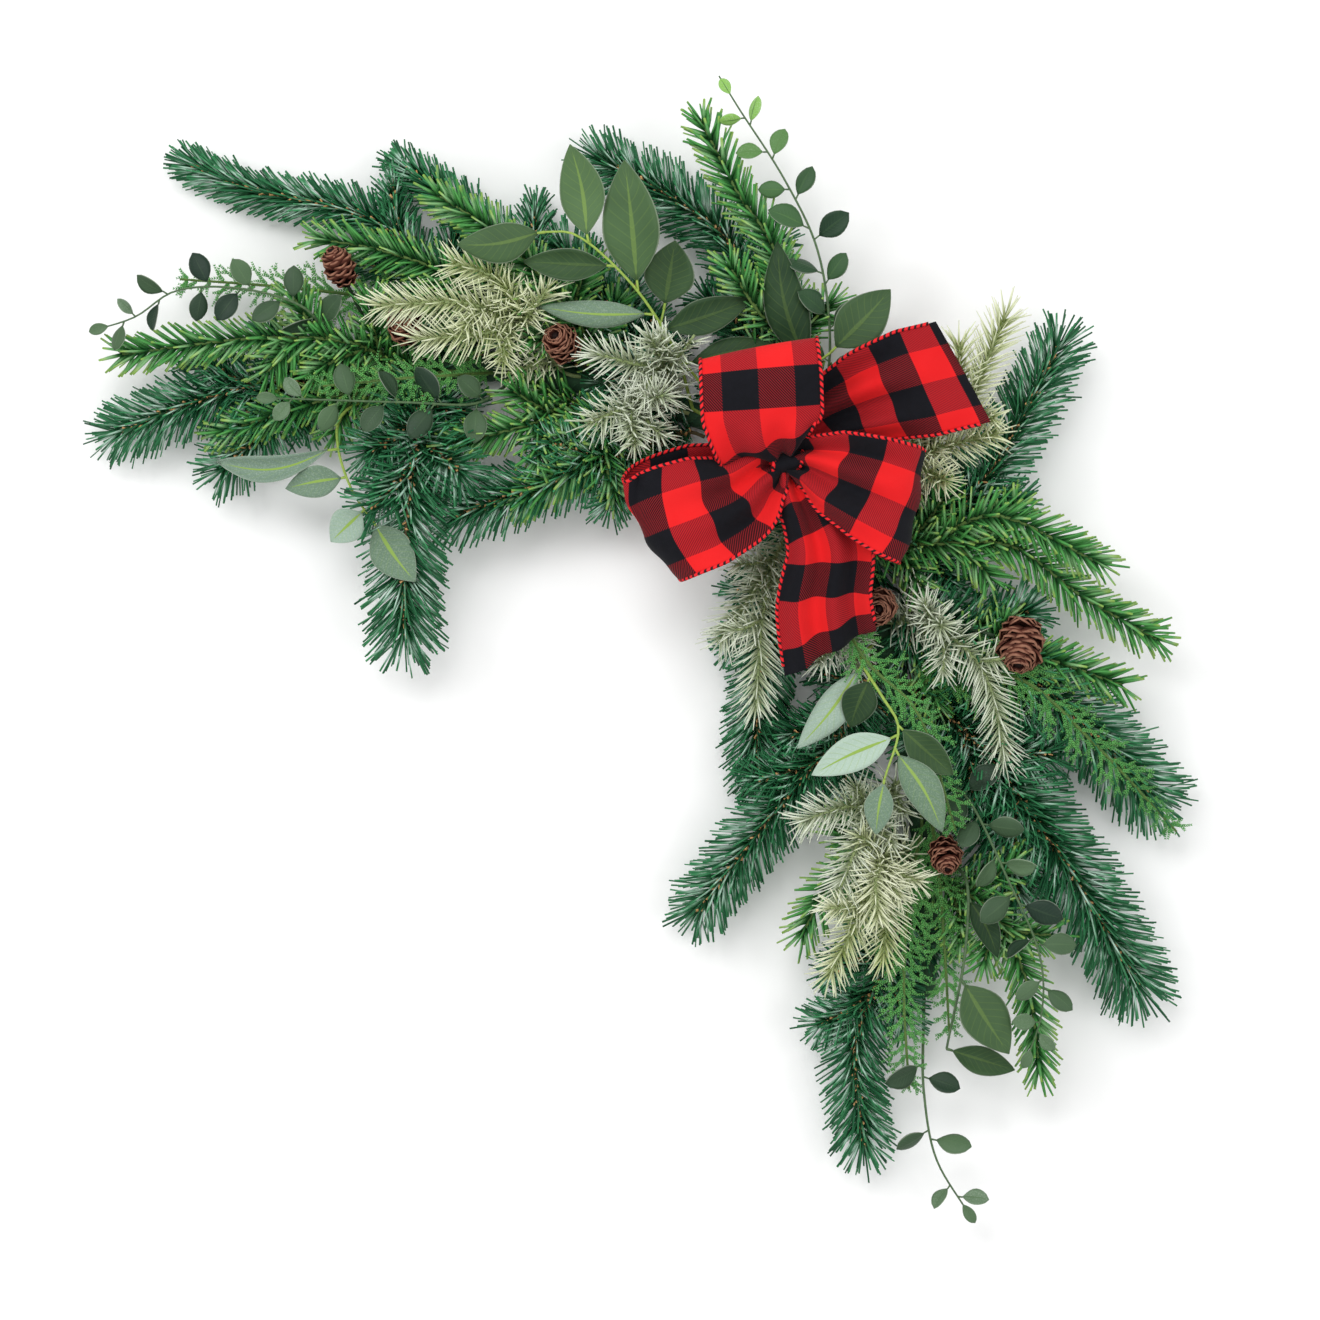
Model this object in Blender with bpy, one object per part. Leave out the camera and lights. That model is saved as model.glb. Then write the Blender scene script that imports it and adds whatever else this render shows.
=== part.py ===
"""A corner swag of artificial greenery with a checked bow, lying on its back with its face up.

An L-shaped core of bound wire stems carries everything: pine and spruce sprays, frosted picks,
cedar, eucalyptus, large-leaf sprigs and cones, each bound along the core at its root. A wire
staple holds the bow over the corner. The origin is on the underside of the core, at its corner,
and a place on the plan is counted in steps from the middle of the bow.
"""

import bisect
import copy
import math
import random

import bmesh
import bpy
from mathutils import Vector
from mathutils.bvhtree import BVHTree
from mathutils.geometry import intersect_ray_tri

# Sizes of the whole, in metres, and the place of the origin on the plan
PLAN = 0.0055
MM = 0.001
CORNER = (0, 1.4)
UP = Vector((0, 0, 1))
GAP = 0.35 * MM
FLOOR = 1.0 * MM
SHARP = math.radians(50)

# The core, a flat-bottomed bundle
CORE_WIDTH = 16 * MM
CORE_HEIGHT = 12 * MM
CORE_STEP = 26 * MM
CORE_SIDES = 8
CORE_PATH = [
    (-46, 10), (-34, 10.6), (-23, 9.6), (-10, 6), CORNER,
    (6, -7), (10, -18), (13, -32), (14, -44), (13.6, -53),
]

# Stems and needles
STEM = 1.5 * MM
STALK = 1.1 * MM
SEAT_RUN = 9 * MM
SEAT_GAP = 0.4 * MM
NEEDLE_BAND = 3.0 * MM
NEEDLE_FOOT = 1.9 * MM
LEAST_NEEDLE = 0.3
GROW_TRIES = 4
LOOK_STEP = 1.0 * MM
LIFTS = (0, 3, -3, 6, -6, 9, 12, 15, 18, -9)
SLIDES = (0, 5, -5, 10, -10, 15, -15)

# Leaves and cedar
LEAF_THICK = 1.1 * MM
LEAF_SHARES = (0.1, 0.3, 0.52, 0.78)
LEAF_OUTLINE = (0.76, 1.0, 0.72)
EUCALYPTUS_PITCH = 25 * MM
EUCALYPTUS_LEAF = 22 * MM
EUCALYPTUS_BARE = 46 * MM
CEDAR_JOINTS = 5
CEDAR_REACH = 30 * MM

# Cones
LARGE_CONE = 25 * MM
SCALE_RISE = 2.5 * MM

# Each kind of spray: needle length, pitch of its whorls, lean from square, how flat it is, bare root
PINE = dict(needle=25, pitch=12.8, lean=34, flat=0.15, bare=30)
SLIM_PINE = dict(needle=23, pitch=12.8, lean=42, flat=0.15, bare=30)
FULL_PINE = dict(needle=32, pitch=12.8, lean=30, flat=0.2, bare=30)
SPRUCE = dict(needle=19, pitch=11.6, lean=30, flat=0.5, bare=36)
FROSTED = dict(needle=17.5, pitch=10.6, lean=28, flat=0.0, bare=60)
TWIG_BARE = 9

# A spray's first path rises from the core, and its other twigs leave that path
PINE_SPRAYS = [
    (SLIM_PINE, [[(-33, 11.5, 8), (-36.5, 20, 20), (-41.6, 25.2, 24), (-54.4, 28.5, 24), (-60, 30.9, 22)]]),
    (SLIM_PINE, [[(-24, 11.6, 9), (-25.5, 20, 22), (-32.5, 26.2, 26), (-38.7, 30.7, 24)]]),
    (PINE, [[(-43, 8.7, 7), (-50, 9, 17), (-58.2, 7.5, 22), (-67.6, 3.9, 18)],
            [(-50, 9, 17), (-52.5, 4.6, 20), (-57, 0.2, 20)]]),
    (FULL_PINE, [[(-36, 8.6, 8), (-37.4, 2, 24), (-38.4, -6, 27), (-38.6, -16.6, 22)]]),
    (PINE, [[(-12.5, 5.2, 8), (-19, 0.9, 20), (-25.5, -1.6, 22), (-33.5, -4.5, 20)]]),
    (PINE, [[(-2.5, 4.3, 9), (-3.4, 14, 24), (-5.7, 22.6, 28), (-11, 27, 28), (-19, 31.4, 24)]]),
    (PINE, [[(-14.5, 8.6, 9), (-17, 15, 20), (-23, 22.6, 20)]]),
    (PINE, [[(6, -5.2, 9), (12.4, -6, 18), (18.6, -2, 26), (23.4, 5.6, 28), (27.1, 12.6, 26)]]),
    (PINE, [[(2.8, -3.8, 8), (0, -12, 20), (-2.9, -22, 22), (-3.2, -30.6, 20)]]),
    (PINE, [[(8.8, -20, 8), (5, -26.5, 20), (-1.6, -34.5, 22), (-9.2, -44.2, 20)]]),
    (FULL_PINE, [[(10.4, -13.5, 6), (18, -16.5, 24), (27, -23, 28), (36.3, -32.6, 22)]]),
    (FULL_PINE, [[(12.8, -22, 9), (19, -27.5, 26), (28, -40, 30), (35, -51.6, 24)],
                 [(19, -27.5, 26), (20.5, -34, 22), (23, -43, 20)]]),
    (PINE, [[(13, -46, 6), (8.6, -52, 20), (6.6, -58, 22), (7.5, -67.6, 20)]]),
]

SPRUCE_SPRAYS = [
    (SPRUCE, [[(-17.8, 9.8, 7), (-22.4, 16.4, 34), (-29.5, 23.6, 42), (-35.2, 27.4, 40)]]),
    (SPRUCE, [[(-28.5, 10.6, 12), (-32, 18.4, 38), (-40, 21.8, 42), (-47, 23.2, 40)]]),
    (SPRUCE, [[(-39, 10.6, 12), (-44, 12.8, 34), (-52.6, 13.2, 40), (-66.8, 11.6, 38)]]),
    (SPRUCE, [[(-36.5, 10, 12), (-42, 8.6, 34), (-49.5, 6.2, 40), (-57.2, 3.8, 38)]]),
    (SPRUCE, [[(-15.6, 6.6, 12), (-19, 2.2, 34), (-23, -0.8, 38), (-26.9, -3.2, 36)]]),
    (SPRUCE, [[(-20.6, 7.2, 8), (-26, 4.6, 36), (-33.8, 2.6, 40)]]),
    (SPRUCE, [[(-0.6, 3.2, 12), (0.6, 12, 40), (-1.8, 22.4, 46), (-5.1, 27.4, 46), (-8.9, 34.9, 42)],
              [(0.6, 12, 40), (-3.4, 16, 50), (-6, 20, 60)]]),
    (SPRUCE, [[(7.2, -7.4, 12), (14, -7.4, 38), (22, -7.6, 45), (29, -12.6, 46), (36.6, -16.9, 42)],
              [(14, -7.4, 38), (20, -4.6, 52), (30.8, -9.4, 55)]]),
    (SPRUCE, [[(12.2, -17.6, 6), (17, -19.4, 30), (24, -18.6, 38), (33.2, -21.5, 38)]]),
    (SPRUCE, [[(14.6, -41, 12), (20, -44, 38), (23.6, -51, 42), (25, -60.2, 38)]]),
    (SPRUCE, [[(11.8, -37, 8), (7.6, -38.8, 28), (3.8, -42, 34), (1.3, -46.4, 34)]]),
]

FROSTED_PICKS = [
    (FROSTED, [[(-22.6, 9.9, 12), (-27, 14.5, 40), (-32, 16.4, 58), (-41, 16.2, 60)],
               [(-27, 14.5, 40), (-29.5, 19, 56), (-33.4, 20.4, 62)],
               [(-27, 14.5, 40), (-31, 13.4, 56), (-37.1, 12.9, 58)],
               [(-27, 14.5, 40), (-25.6, 16, 54), (-24, 18, 64)]]),
    (FROSTED, [[(-11.6, 6.4, 12), (-12.4, 10, 44), (-13.9, 12.8, 68)],
               [(-12.4, 10, 44), (-10.8, 11.6, 56), (-9.6, 13.2, 66)],
               [(-12.4, 10, 44), (-15.4, 10.4, 56), (-19.4, 11.4, 66)]]),
    (FROSTED, [[(-16.6, 8.4, 12), (-15, 6.8, 44), (-12.6, 7.2, 72)],
               [(-15, 6.8, 44), (-17.6, 5.6, 58), (-19.9, 4.5, 66)],
               [(-15, 6.8, 44), (-15.6, 4.4, 56), (-15.5, 2.4, 68)]]),
    (FROSTED, [[(3.4, -2.4, 12), (11, 1, 34), (17, 6, 50), (21.5, 15.4, 58)],
               [(17, 6, 50), (16.8, 9, 58), (16.7, 12.3, 66)],
               [(11, 1, 34), (15, 2.2, 48), (20.4, 3.6, 56)],
               [(11, 1, 34), (13.4, -0.2, 46), (15.3, -1.2, 62)]]),
    (FROSTED, [[(1.2, -2.8, 10), (-1.6, -9, 32), (-4.2, -13, 42), (-7, -17, 42)],
               [(-1.6, -9, 32), (-2.8, -15, 44), (-3.4, -23.6, 44)]]),
    (FROSTED, [[(7.6, -15.6, 10), (4.6, -17.4, 34), (2.9, -19, 50)]]),
    (FROSTED, [[(9.8, -16, 12.5), (14, -15.6, 40), (18, -18.4, 56), (20, -22, 60), (21.4, -29, 56)],
               [(14, -15.6, 40), (14.6, -15.2, 52), (15, -15.6, 66)]]),
    (FROSTED, [[(11.4, -31, 10), (8.6, -33.6, 36), (5.1, -33.7, 54), (1.2, -35, 58)],
               [(8.6, -33.6, 36), (6.4, -38, 54), (4.2, -43.6, 58)]]),
    (FROSTED, [[(13, -38.6, 12), (9.6, -38.4, 42), (8.4, -41, 62), (8.6, -44.4, 70)],
               [(9.6, -38.4, 42), (7.6, -43, 56), (3.8, -50.4, 56)],
               [(9.6, -38.4, 42), (9.6, -44, 54), (9.2, -48.6, 60)]]),
]

CEDAR_SPRAYS = [
    [(-33.6, 11.2, 11), (-38, 15.6, 26), (-42.4, 17.4, 30), (-52, 18.6, 32), (-61.3, 19.3, 32)],
    [(-29.8, 10, 12), (-34, 9.4, 46), (-39, 9, 54), (-46.6, 8.3, 50)],
    [(6.6, -9.4, 12), (5.2, -14.4, 40), (7.8, -19.4, 52), (12.4, -24, 60), (16.4, -36, 54)],
    [(11.2, -21.6, 12.5), (17, -20.6, 44), (23.1, -21, 54), (30, -27, 54), (38.8, -36.2, 40)],
    [(13.6, -37.4, 12.5), (12.4, -40.4, 40), (11.5, -46, 54), (11.4, -53.5, 50), (12, -62, 40)],
    [(14.2, -35.4, 12), (14.8, -38.6, 30), (15.4, -46, 40), (16, -56.3, 38)],
]

EUCALYPTUS_SPRIGS = [
    [(-45, 11.2, 10), (-48.6, 16.2, 48), (-55, 18, 54), (-61.3, 17.7, 54), (-65.3, 15.2, 50), (-69.6, 13.9, 44)],
    [(-27.8, 9.2, 11), (-31.5, 6.6, 44), (-38, 6.6, 58), (-52.6, 7.1, 54)],
    [(2, 1.6, 12), (3.6, 8, 44), (3.9, 14, 58), (2.6, 22, 62), (-0.6, 28.8, 60), (-5.1, 36, 52),
     (-7.1, 39.4, 46)],
    [(13.9, -29.5, 9), (17.8, -33, 44), (21.4, -40.5, 60), (24.7, -48.5, 62), (24.9, -54, 58),
     (23.2, -59.6, 50)],
    [(13.7, -53.4, 8), (13.4, -58, 28), (13.4, -62, 36), (14.6, -68.8, 36), (18, -74.6, 30)],
]

# A large-leaf sprig's stem, then each leaf: share along the stem, tip on the plan, rise and width in mm.
# The last leaf of a sprig stands at the end of its stem.
LEAF_SPRIGS = [
    ([(-9.6, 6.2, 11), (-11.6, 12, 46), (-15.7, 18.2, 62), (-21.6, 23.2, 70), (-24.4, 23.4, 68)],
     [(0.84, -21.9, 32, 4, 25), (0.6, -16.5, 30.5, 8, 32), (1, -33.1, 22.2, -4, 22),
      (0.72, -26.6, 20.6, -6, 18), (0.5, -25, 16.2, -4, 15)]),
    ([(-6.6, 5.2, 11), (-9.6, 9.6, 38), (-13, 13.2, 47), (-12.6, 16, 50)],
     [(0.86, -4, 17, -2, 20), (0.6, -0.8, 12.3, -2, 16), (1, -11.5, 22.8, 4, 28)]),
    ([(-2, 2.8, 12), (-0.6, 7, 38), (1.4, 9.6, 50), (4, 11.6, 56)],
     [(0.8, -1.3, 22.6, 4, 24), (1, 9.9, 17.8, 4, 27)]),
    ([(-40, 8.9, 9), (-45, 5.4, 34), (-45.2, 2.4, 42), (-43.8, -2, 42), (-41.8, -5, 42)],
     [(0.62, -57.3, 0.8, 2, 15), (0.76, -50.4, -1.9, 2, 18), (0.94, -45.9, -7.2, 0, 20),
      (1, -37.4, -11.2, 6, 24)]),
    ([(8.8, -17.2, 10), (7, -19, 48), (9, -22.6, 66), (10.6, -25.6, 70), (9.2, -30.8, 72)],
     [(0.42, 0.7, -27.8, 2, 19), (0.8, 2, -30.4, 0, 20), (0.5, 5.9, -25.7, -2, 20),
      (0.76, 16.1, -30.4, -6, 18), (0.86, 14.9, -36, 4, 20), (1, 8.4, -36.3, -3, 16)]),
    ([(15.2, -38.6, 11), (17.6, -41, 42), (17.4, -48, 52), (15.6, -57.8, 46)],
     [(0.4, 20.6, -48.6, 10, 14), (0.72, 21.7, -58.2, 4, 27), (1, 22.5, -60, -6, 16)]),
]

# A cone's stalk, then its length and width in mm
CONES = [
    ([(9.4, -11.2, 8), (16, -15, 34), (21.7, -16.9, 46)], 31, 29),
    ([(9, -13, 12), (8.9, -13.4, 30)], 26, 23),
    ([(14.9, -32.4, 11), (15.3, -37.2, 40)], 24, 20),
    ([(-37, 11.5, 11), (-38, 13.4, 32)], 25, 21),
    ([(-41, 11.3, 10), (-44.3, 18.6, 34)], 24, 20),
    ([(-20.4, 10, 11), (-22, 11.8, 34)], 25, 22),
]

# The bow: each strip's places outwards from the gathered middle, as plan place, height, width, bearing
BOW_MIDDLE = (-0.6, 0.6, 70)
GATHER = 8 * MM
RIBBON_THICK = 1.0 * MM
BOW_STRIPS = [
    [(-0.8, 0.9, 72, 12, 14), (-1.9, 2.9, 88, 56, 15), (-2.6, 6.4, 98, 63, 13), (-3.2, 9.8, 97, 64, 11),
     (-3.3, 11.7, 88, 64, 11), (-3.2, 11.2, 76, 64, 11), (-2.7, 8.2, 67, 62, 12), (-1.9, 4, 64, 46, 14),
     (-0.9, 1, 68, 12, 14)],
    [(-0.2, 0.5, 71, 12, 76), (3.4, -0.4, 84, 44, 76), (7.4, -2, 94, 56, 77), (10.4, -3.3, 92, 62, 79),
     (11.7, -3.9, 82, 62, 79), (10.9, -3.5, 71, 62, 79), (7, -1.8, 64, 52, 77), (3, -0.2, 64, 34, 76),
     (-0.1, 0.5, 69, 12, 76)],
    [(-1, 0.4, 71, 12, -62), (-4, -1.8, 84, 44, -66), (-8, -3.9, 94, 60, -64), (-11.6, -5.4, 92, 62, -62),
     (-13.2, -5.9, 82, 62, -62), (-12.4, -4.4, 71, 62, -62), (-8.2, -2.4, 64, 56, -64),
     (-4, -0.6, 64, 36, -66), (-1, 0.5, 69, 12, -62)],
    [(-0.3, 1, 70, 12, -60), (2.8, 4.8, 62, 34, -74), (7.6, 7, 66, 52, -66), (12.4, 8.4, 71, 62, -62),
     (17.1, 9.6, 66, 64, -60)],
    [(-0.2, 0.2, 69, 12, 8), (2.2, -4.2, 76, 36, 8), (3.7, -8.4, 77, 48, 4), (3.2, -13.4, 71, 53, 2),
     (3.9, -18.3, 62, 54, 22)],
]

COLOURS = {
    "pine": ((0.012, 0.105, 0.048), 0.55),
    "spruce": ((0.035, 0.22, 0.03), 0.5),
    "frosted": ((0.42, 0.47, 0.33), 0.75),
    "cedar": ((0.04, 0.22, 0.06), 0.6),
    "eucalyptus": ((0.03, 0.08, 0.045), 0.45),
    "leaf": ((0.05, 0.13, 0.05), 0.5),
    "cone": ((0.11, 0.045, 0.02), 0.7),
    "ribbon": ((0.75, 0.01, 0.012), 0.8),
    "core": ((0.02, 0.07, 0.03), 0.8),
    "wire": ((0.02, 0.06, 0.03), 0.5),
}


def place(x, y, z):
    """A point from its plan steps and its height in millimetres."""
    return Vector(((x - CORNER[0]) * PLAN, (y - CORNER[1]) * PLAN, z * MM))


def finish_of(name, kind):
    """A material of its own for a piece, in the colour of its kind."""
    colour, roughness = COLOURS[kind]
    material = bpy.data.materials.new(name)
    material.use_nodes = True
    shader = material.node_tree.nodes["Principled BSDF"]
    shader.inputs["Base Color"].default_value = (*colour, 1)
    shader.inputs["Roughness"].default_value = roughness
    shader.inputs["Metallic"].default_value = 0
    material.diffuse_color = (*colour, 1)
    return material


def object_from(bm, name, finish):
    mesh = bpy.data.meshes.new(name)
    bm.to_mesh(mesh)
    mesh.materials.append(finish_of(name, finish))
    made = bpy.data.objects.new(name, mesh)
    bpy.context.scene.collection.objects.link(made)
    return made


def join(pieces):
    """The first piece with the others fused into it by one union."""
    whole = pieces[0]
    if len(pieces) > 1:
        group = bpy.data.collections.new(whole.name + "_pieces")
        bpy.context.scene.collection.children.link(group)
        for piece in pieces[1:]:
            bpy.context.scene.collection.objects.unlink(piece)
            group.objects.link(piece)
        union = whole.modifiers.new("Union", "BOOLEAN")
        union.operation = "UNION"
        union.solver = "MANIFOLD"
        union.operand_type = "COLLECTION"
        union.collection = group
        graph = bpy.context.evaluated_depsgraph_get()
        joined = bpy.data.meshes.new_from_object(whole.evaluated_get(graph))
        whole.modifiers.clear()
        joined.materials.clear()
        joined.materials.append(whole.data.materials[0])
        whole.data = joined
        for piece in pieces[1:]:
            bpy.data.objects.remove(piece, do_unlink=True)
        bpy.data.collections.remove(group)
    whole.data.shade_smooth()
    whole.data.set_sharp_from_angle(angle=SHARP)
    return whole


class Line:
    """A smooth curve through a few points, read by the distance along it."""

    FINE = 10

    def __init__(self, points):
        ends = [points[0] * 2 - points[1], *points, points[-1] * 2 - points[-2]]
        self.points = []
        for before, start, end, after in zip(ends, ends[1:], ends[2:], ends[3:]):
            for step in range(self.FINE):
                self.points.append(self.between(before, start, end, after, step / self.FINE))
        self.points.append(points[-1])
        self.marks = [0]
        for near, far in zip(self.points, self.points[1:]):
            self.marks.append(self.marks[-1] + (far - near).length)
        self.length = self.marks[-1]

    @staticmethod
    def between(before, start, end, after, share):
        """A point of the centripetal curve from start to end."""
        first = (start - before).length ** 0.5
        second = first + (end - start).length ** 0.5
        third = second + (after - end).length ** 0.5
        t = first + (second - first) * share
        one = before.lerp(start, t / first)
        two = start.lerp(end, (t - first) / (second - first))
        three = end.lerp(after, (t - second) / (third - second))
        low = one.lerp(two, t / second)
        high = two.lerp(three, (t - first) / (third - first))
        return low.lerp(high, (t - first) / (second - first))

    def cut(self, share):
        """The curve up to a share of its length."""
        shorter = copy.copy(self)
        shorter.length = self.length * share
        return shorter

    def at(self, distance):
        index = min(max(bisect.bisect_right(self.marks, distance), 1), len(self.marks) - 1)
        low, high = self.marks[index - 1], self.marks[index]
        return self.points[index - 1].lerp(self.points[index], (distance - low) / (high - low))

    def toward(self, distance):
        reach = 2 * MM
        return (self.at(distance + reach) - self.at(distance - reach)).normalized()


class Space:
    """The solids made so far, each with its box, asked what is free."""

    def __init__(self):
        self.solids = {}

    def put(self, name, bm):
        low = Vector([min(v.co[axis] for v in bm.verts) for axis in range(3)])
        high = Vector([max(v.co[axis] for v in bm.verts) for axis in range(3)])
        self.solids[name] = (BVHTree.FromBMesh(bm), low, high)

    def near(self, bm, margin, own):
        """The solids whose boxes come within a margin of this mesh, apart from its own."""
        found = []
        low = [min(v.co[axis] for v in bm.verts) - margin for axis in range(3)]
        high = [max(v.co[axis] for v in bm.verts) + margin for axis in range(3)]
        for name, (tree, least, most) in self.solids.items():
            apart = any(low[axis] > most[axis] or high[axis] < least[axis] for axis in range(3))
            if name != own and not apart:
                found.append(tree)
        return found

    def crossed_by(self, bm, own):
        tree = BVHTree.FromBMesh(bm)
        return any(tree.overlap(other) for other in self.near(bm, 0, own))


def reach(foot, tip, trees):
    """The share of a needle that stays clear of the solids near it."""
    steps = max(int((tip - foot).length / LOOK_STEP), 3)
    for step in range(2, steps + 1):
        point = foot.lerp(tip, step / steps)
        room = GAP + NEEDLE_FOOT * (1 - step / steps)
        if any(tree.find_nearest(point, room)[0] is not None for tree in trees):
            return (step - 2) / steps
    return 1.0


def rings_along(bm, line, distances, radii, sides, turns):
    """Rings of points round a line, turned no more than their own turn."""
    rings = []
    toward = line.toward(distances[0])
    across = toward.orthogonal().normalized()
    for distance, radius, turn in zip(distances, radii, turns):
        ahead = line.toward(distance)
        across.rotate(toward.rotation_difference(ahead))
        toward = ahead
        other = toward.cross(across)
        middle = line.at(distance)
        ring = []
        for side in range(sides):
            angle = turn + math.tau * side / sides
            out = across * math.cos(angle) + other * math.sin(angle)
            ring.append(bm.verts.new(middle + out * radius))
        rings.append(ring)
    return rings


def band(bm, low, high):
    """The triangles between two rings, or between two edges, facing out."""
    faces = []
    count = len(low) if len(low) > 2 else 1
    for index in range(count):
        near, ahead = low[index], low[(index + 1) % len(low)]
        far, beyond = high[index], high[(index + 1) % len(high)]
        faces.append(bm.faces.new((near, ahead, far)))
        faces.append(bm.faces.new((ahead, beyond, far)))
    return faces


def close_ends(bm, rings, tip):
    """A flat root and a pointed tip."""
    bm.faces.new(rings[0][::-1])
    apex = bm.verts.new(tip)
    last = rings[-1]
    for near, ahead in zip(last, last[1:] + last[:1]):
        bm.faces.new((near, ahead, apex))


def plain_stem(line, radius, sides=4, pitch=12 * MM, taper=0.6):
    """A bare stem that narrows to a blunt point."""
    bm = bmesh.new()
    count = max(round(line.length / pitch), 2)
    shares = [step / count for step in range(count + 1)]
    distances = [share * (line.length - MM) for share in shares]
    radii = [radius * (1 - (1 - taper) * share) for share in shares]
    rings = rings_along(bm, line, distances, radii, sides, [0.3] * (count + 1))
    for low, high in zip(rings, rings[1:]):
        band(bm, low, high)
    close_ends(bm, rings, line.at(line.length))
    return bm


def needled_stem(line, kind, bare, draw, trees):
    """A stem with whorls of three-sided needles raised from its faces, even all round it."""
    bm = bmesh.new()
    pitch = kind["pitch"] * MM
    bare = min(bare * MM, line.length * 0.45)
    root_bands = max(round(bare / (10 * MM)), 1)
    distances = [bare * step / root_bands for step in range(root_bands)]
    whorls = max(int((line.length - bare) / pitch), 1)
    pitch = (line.length - bare) / whorls
    needled = []
    for whorl in range(whorls):
        needled.append(len(distances))
        distances += [bare + whorl * pitch, bare + whorl * pitch + NEEDLE_BAND]
    turns = [draw.uniform(0, math.tau)]
    for index in range(1, len(distances)):
        turns.append(turns[-1] + math.radians(60 if index - 1 in needled else 35))
    radii = [STEM * (1 - 0.25 * distance / line.length) for distance in distances]
    rings = rings_along(bm, line, distances, radii, 3, turns)
    for index, (low, high) in enumerate(zip(rings, rings[1:])):
        faces = band(bm, low, high)
        if index in needled:
            share = distances[index] / line.length
            middle = line.at(distances[index] + NEEDLE_BAND / 2)
            toward = line.toward(distances[index])
            for number, face in enumerate(faces):
                raise_needle(bm, face, middle, toward, share, number % 2, kind, draw, trees)
    close_ends(bm, rings, line.at(line.length))
    bmesh.ops.triangulate(bm, faces=[face for face in bm.faces if len(face.verts) > 3])
    return bm


def raise_needle(bm, face, middle, toward, share, low, kind, draw, trees):
    """One needle, as long as the room about it lets it be."""
    foot = face.calc_center_median()
    out = foot - middle
    out = (out - toward * out.dot(toward)).normalized()
    lean = math.radians(kind["lean"] + 16 * low + 26 * max(share - 0.8, 0) / 0.2 + draw.uniform(-4, 4))
    length = kind["needle"] * MM * draw.uniform(0.88, 1.05) * (1 - 0.3 * max(share - 0.85, 0) / 0.15)
    level = toward.cross(UP)
    if level.length > 0.3:
        length *= 1 - kind["flat"] * (1 - abs(out.dot(level.normalized())))
    tip = foot + (out * math.cos(lean) + toward * math.sin(lean)) * length
    tip.z = max(tip.z, FLOOR)
    clear = reach(foot, tip, trees)
    if clear > LEAST_NEEDLE:
        made = bmesh.ops.poke(bm, faces=[face])
        made["verts"][0].co = foot.lerp(tip, clear)


def jointed_stem(line, radius, joints):
    """A three-sided stem with a short band at each joint, the faces of those bands, and its end face."""
    bm = bmesh.new()
    distances = [0]
    bands = []
    for joint in [*joints, line.length]:
        start = joint - NEEDLE_BAND / 2
        plain = max(round((start - distances[-1]) / (16 * MM)), 1)
        first = distances[-1]
        distances += [first + (start - first) * step / plain for step in range(1, plain + 1)]
        if joint < line.length:
            bands.append(len(distances) - 1)
            distances.append(joint + NEEDLE_BAND / 2)
    radii = [radius * (1 - 0.35 * distance / line.length) for distance in distances]
    turns = [0.4]
    for index in range(1, len(distances)):
        turns.append(turns[-1] + (math.pi / 3 if index - 1 in bands else 0.3))
    rings = rings_along(bm, line, distances, radii, 3, turns)
    faces = []
    for index, (low, high) in enumerate(zip(rings, rings[1:])):
        made = band(bm, low, high)
        if index in bands:
            faces.append(made)
    bm.faces.new(rings[0][::-1])
    end = bm.faces.new(rings[-1])
    bm.normal_update()
    return bm, faces, [end]


def meets(first, second):
    """Whether two triangles that share one corner, or none, run through each other."""
    shared = set(first.verts) & set(second.verts)
    if len(shared) != 1:
        return not shared
    for one, other in ((first, second), (second, first)):
        start, end = [v.co for v in one.verts if v not in shared]
        corners = [v.co for v in other.verts]
        hit = intersect_ray_tri(*corners, end - start, start, True)
        if hit is not None and (hit - start).length < (end - start).length:
            return True
    return False


def crosses_itself(bm):
    bm.faces.ensure_lookup_table()
    tree = BVHTree.FromBMesh(bm)
    return any(a < b and meets(bm.faces[a], bm.faces[b]) for a, b in tree.overlap(tree))


def grow(bm, faces, tip, shares, halves, thick, arch=0.0):
    """Draws out the face that looks most towards a tip and crosses nothing on its way there."""
    def facing(face):
        return (tip - face.calc_center_median()).normalized().dot(face.normal)

    for face in sorted(faces, key=facing, reverse=True)[:GROW_TRIES]:
        faces.remove(face)
        corners = list(face.verts)
        made = draw_out(bm, face, tip, shares, halves, thick, arch)
        if not crosses_itself(bm):
            return made
        fresh = {corner for part in made for corner in part.verts} - set(corners)
        bmesh.ops.delete(bm, geom=list(fresh), context="VERTS")
        faces.append(bm.faces.new(corners))
        bm.normal_update()
    return []


def draw_out(bm, face, tip, shares, halves, thick, arch):
    """A face turned into a limb: three-point rings, then the tip."""
    base = face.calc_center_median()
    along = tip - base
    ahead = along.normalized()
    side = ahead.cross(UP).normalized()
    rise = side.cross(ahead)
    corners = list(face.verts)
    bm.faces.remove(face)
    made = []
    for share, half in zip(shares, halves):
        centre = base + along * share + rise * (arch * along.length * math.sin(math.pi * share))
        ring = [centre + side * half, centre - side * half, centre + rise * thick]
        turn = min(range(3), key=lambda r: sum((corners[k].co - ring[(k + r) % 3]).length for k in range(3)))
        fresh = [bm.verts.new(ring[(k + turn) % 3]) for k in range(3)]
        made += band(bm, corners, fresh)
        corners = fresh
    end = bm.verts.new(tip)
    for near, beyond in zip(corners, corners[1:] + corners[:1]):
        made.append(bm.faces.new((near, beyond, end)))
    return made


def core_line():
    return Line([place(x, y, 0) for x, y in CORE_PATH])


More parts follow.
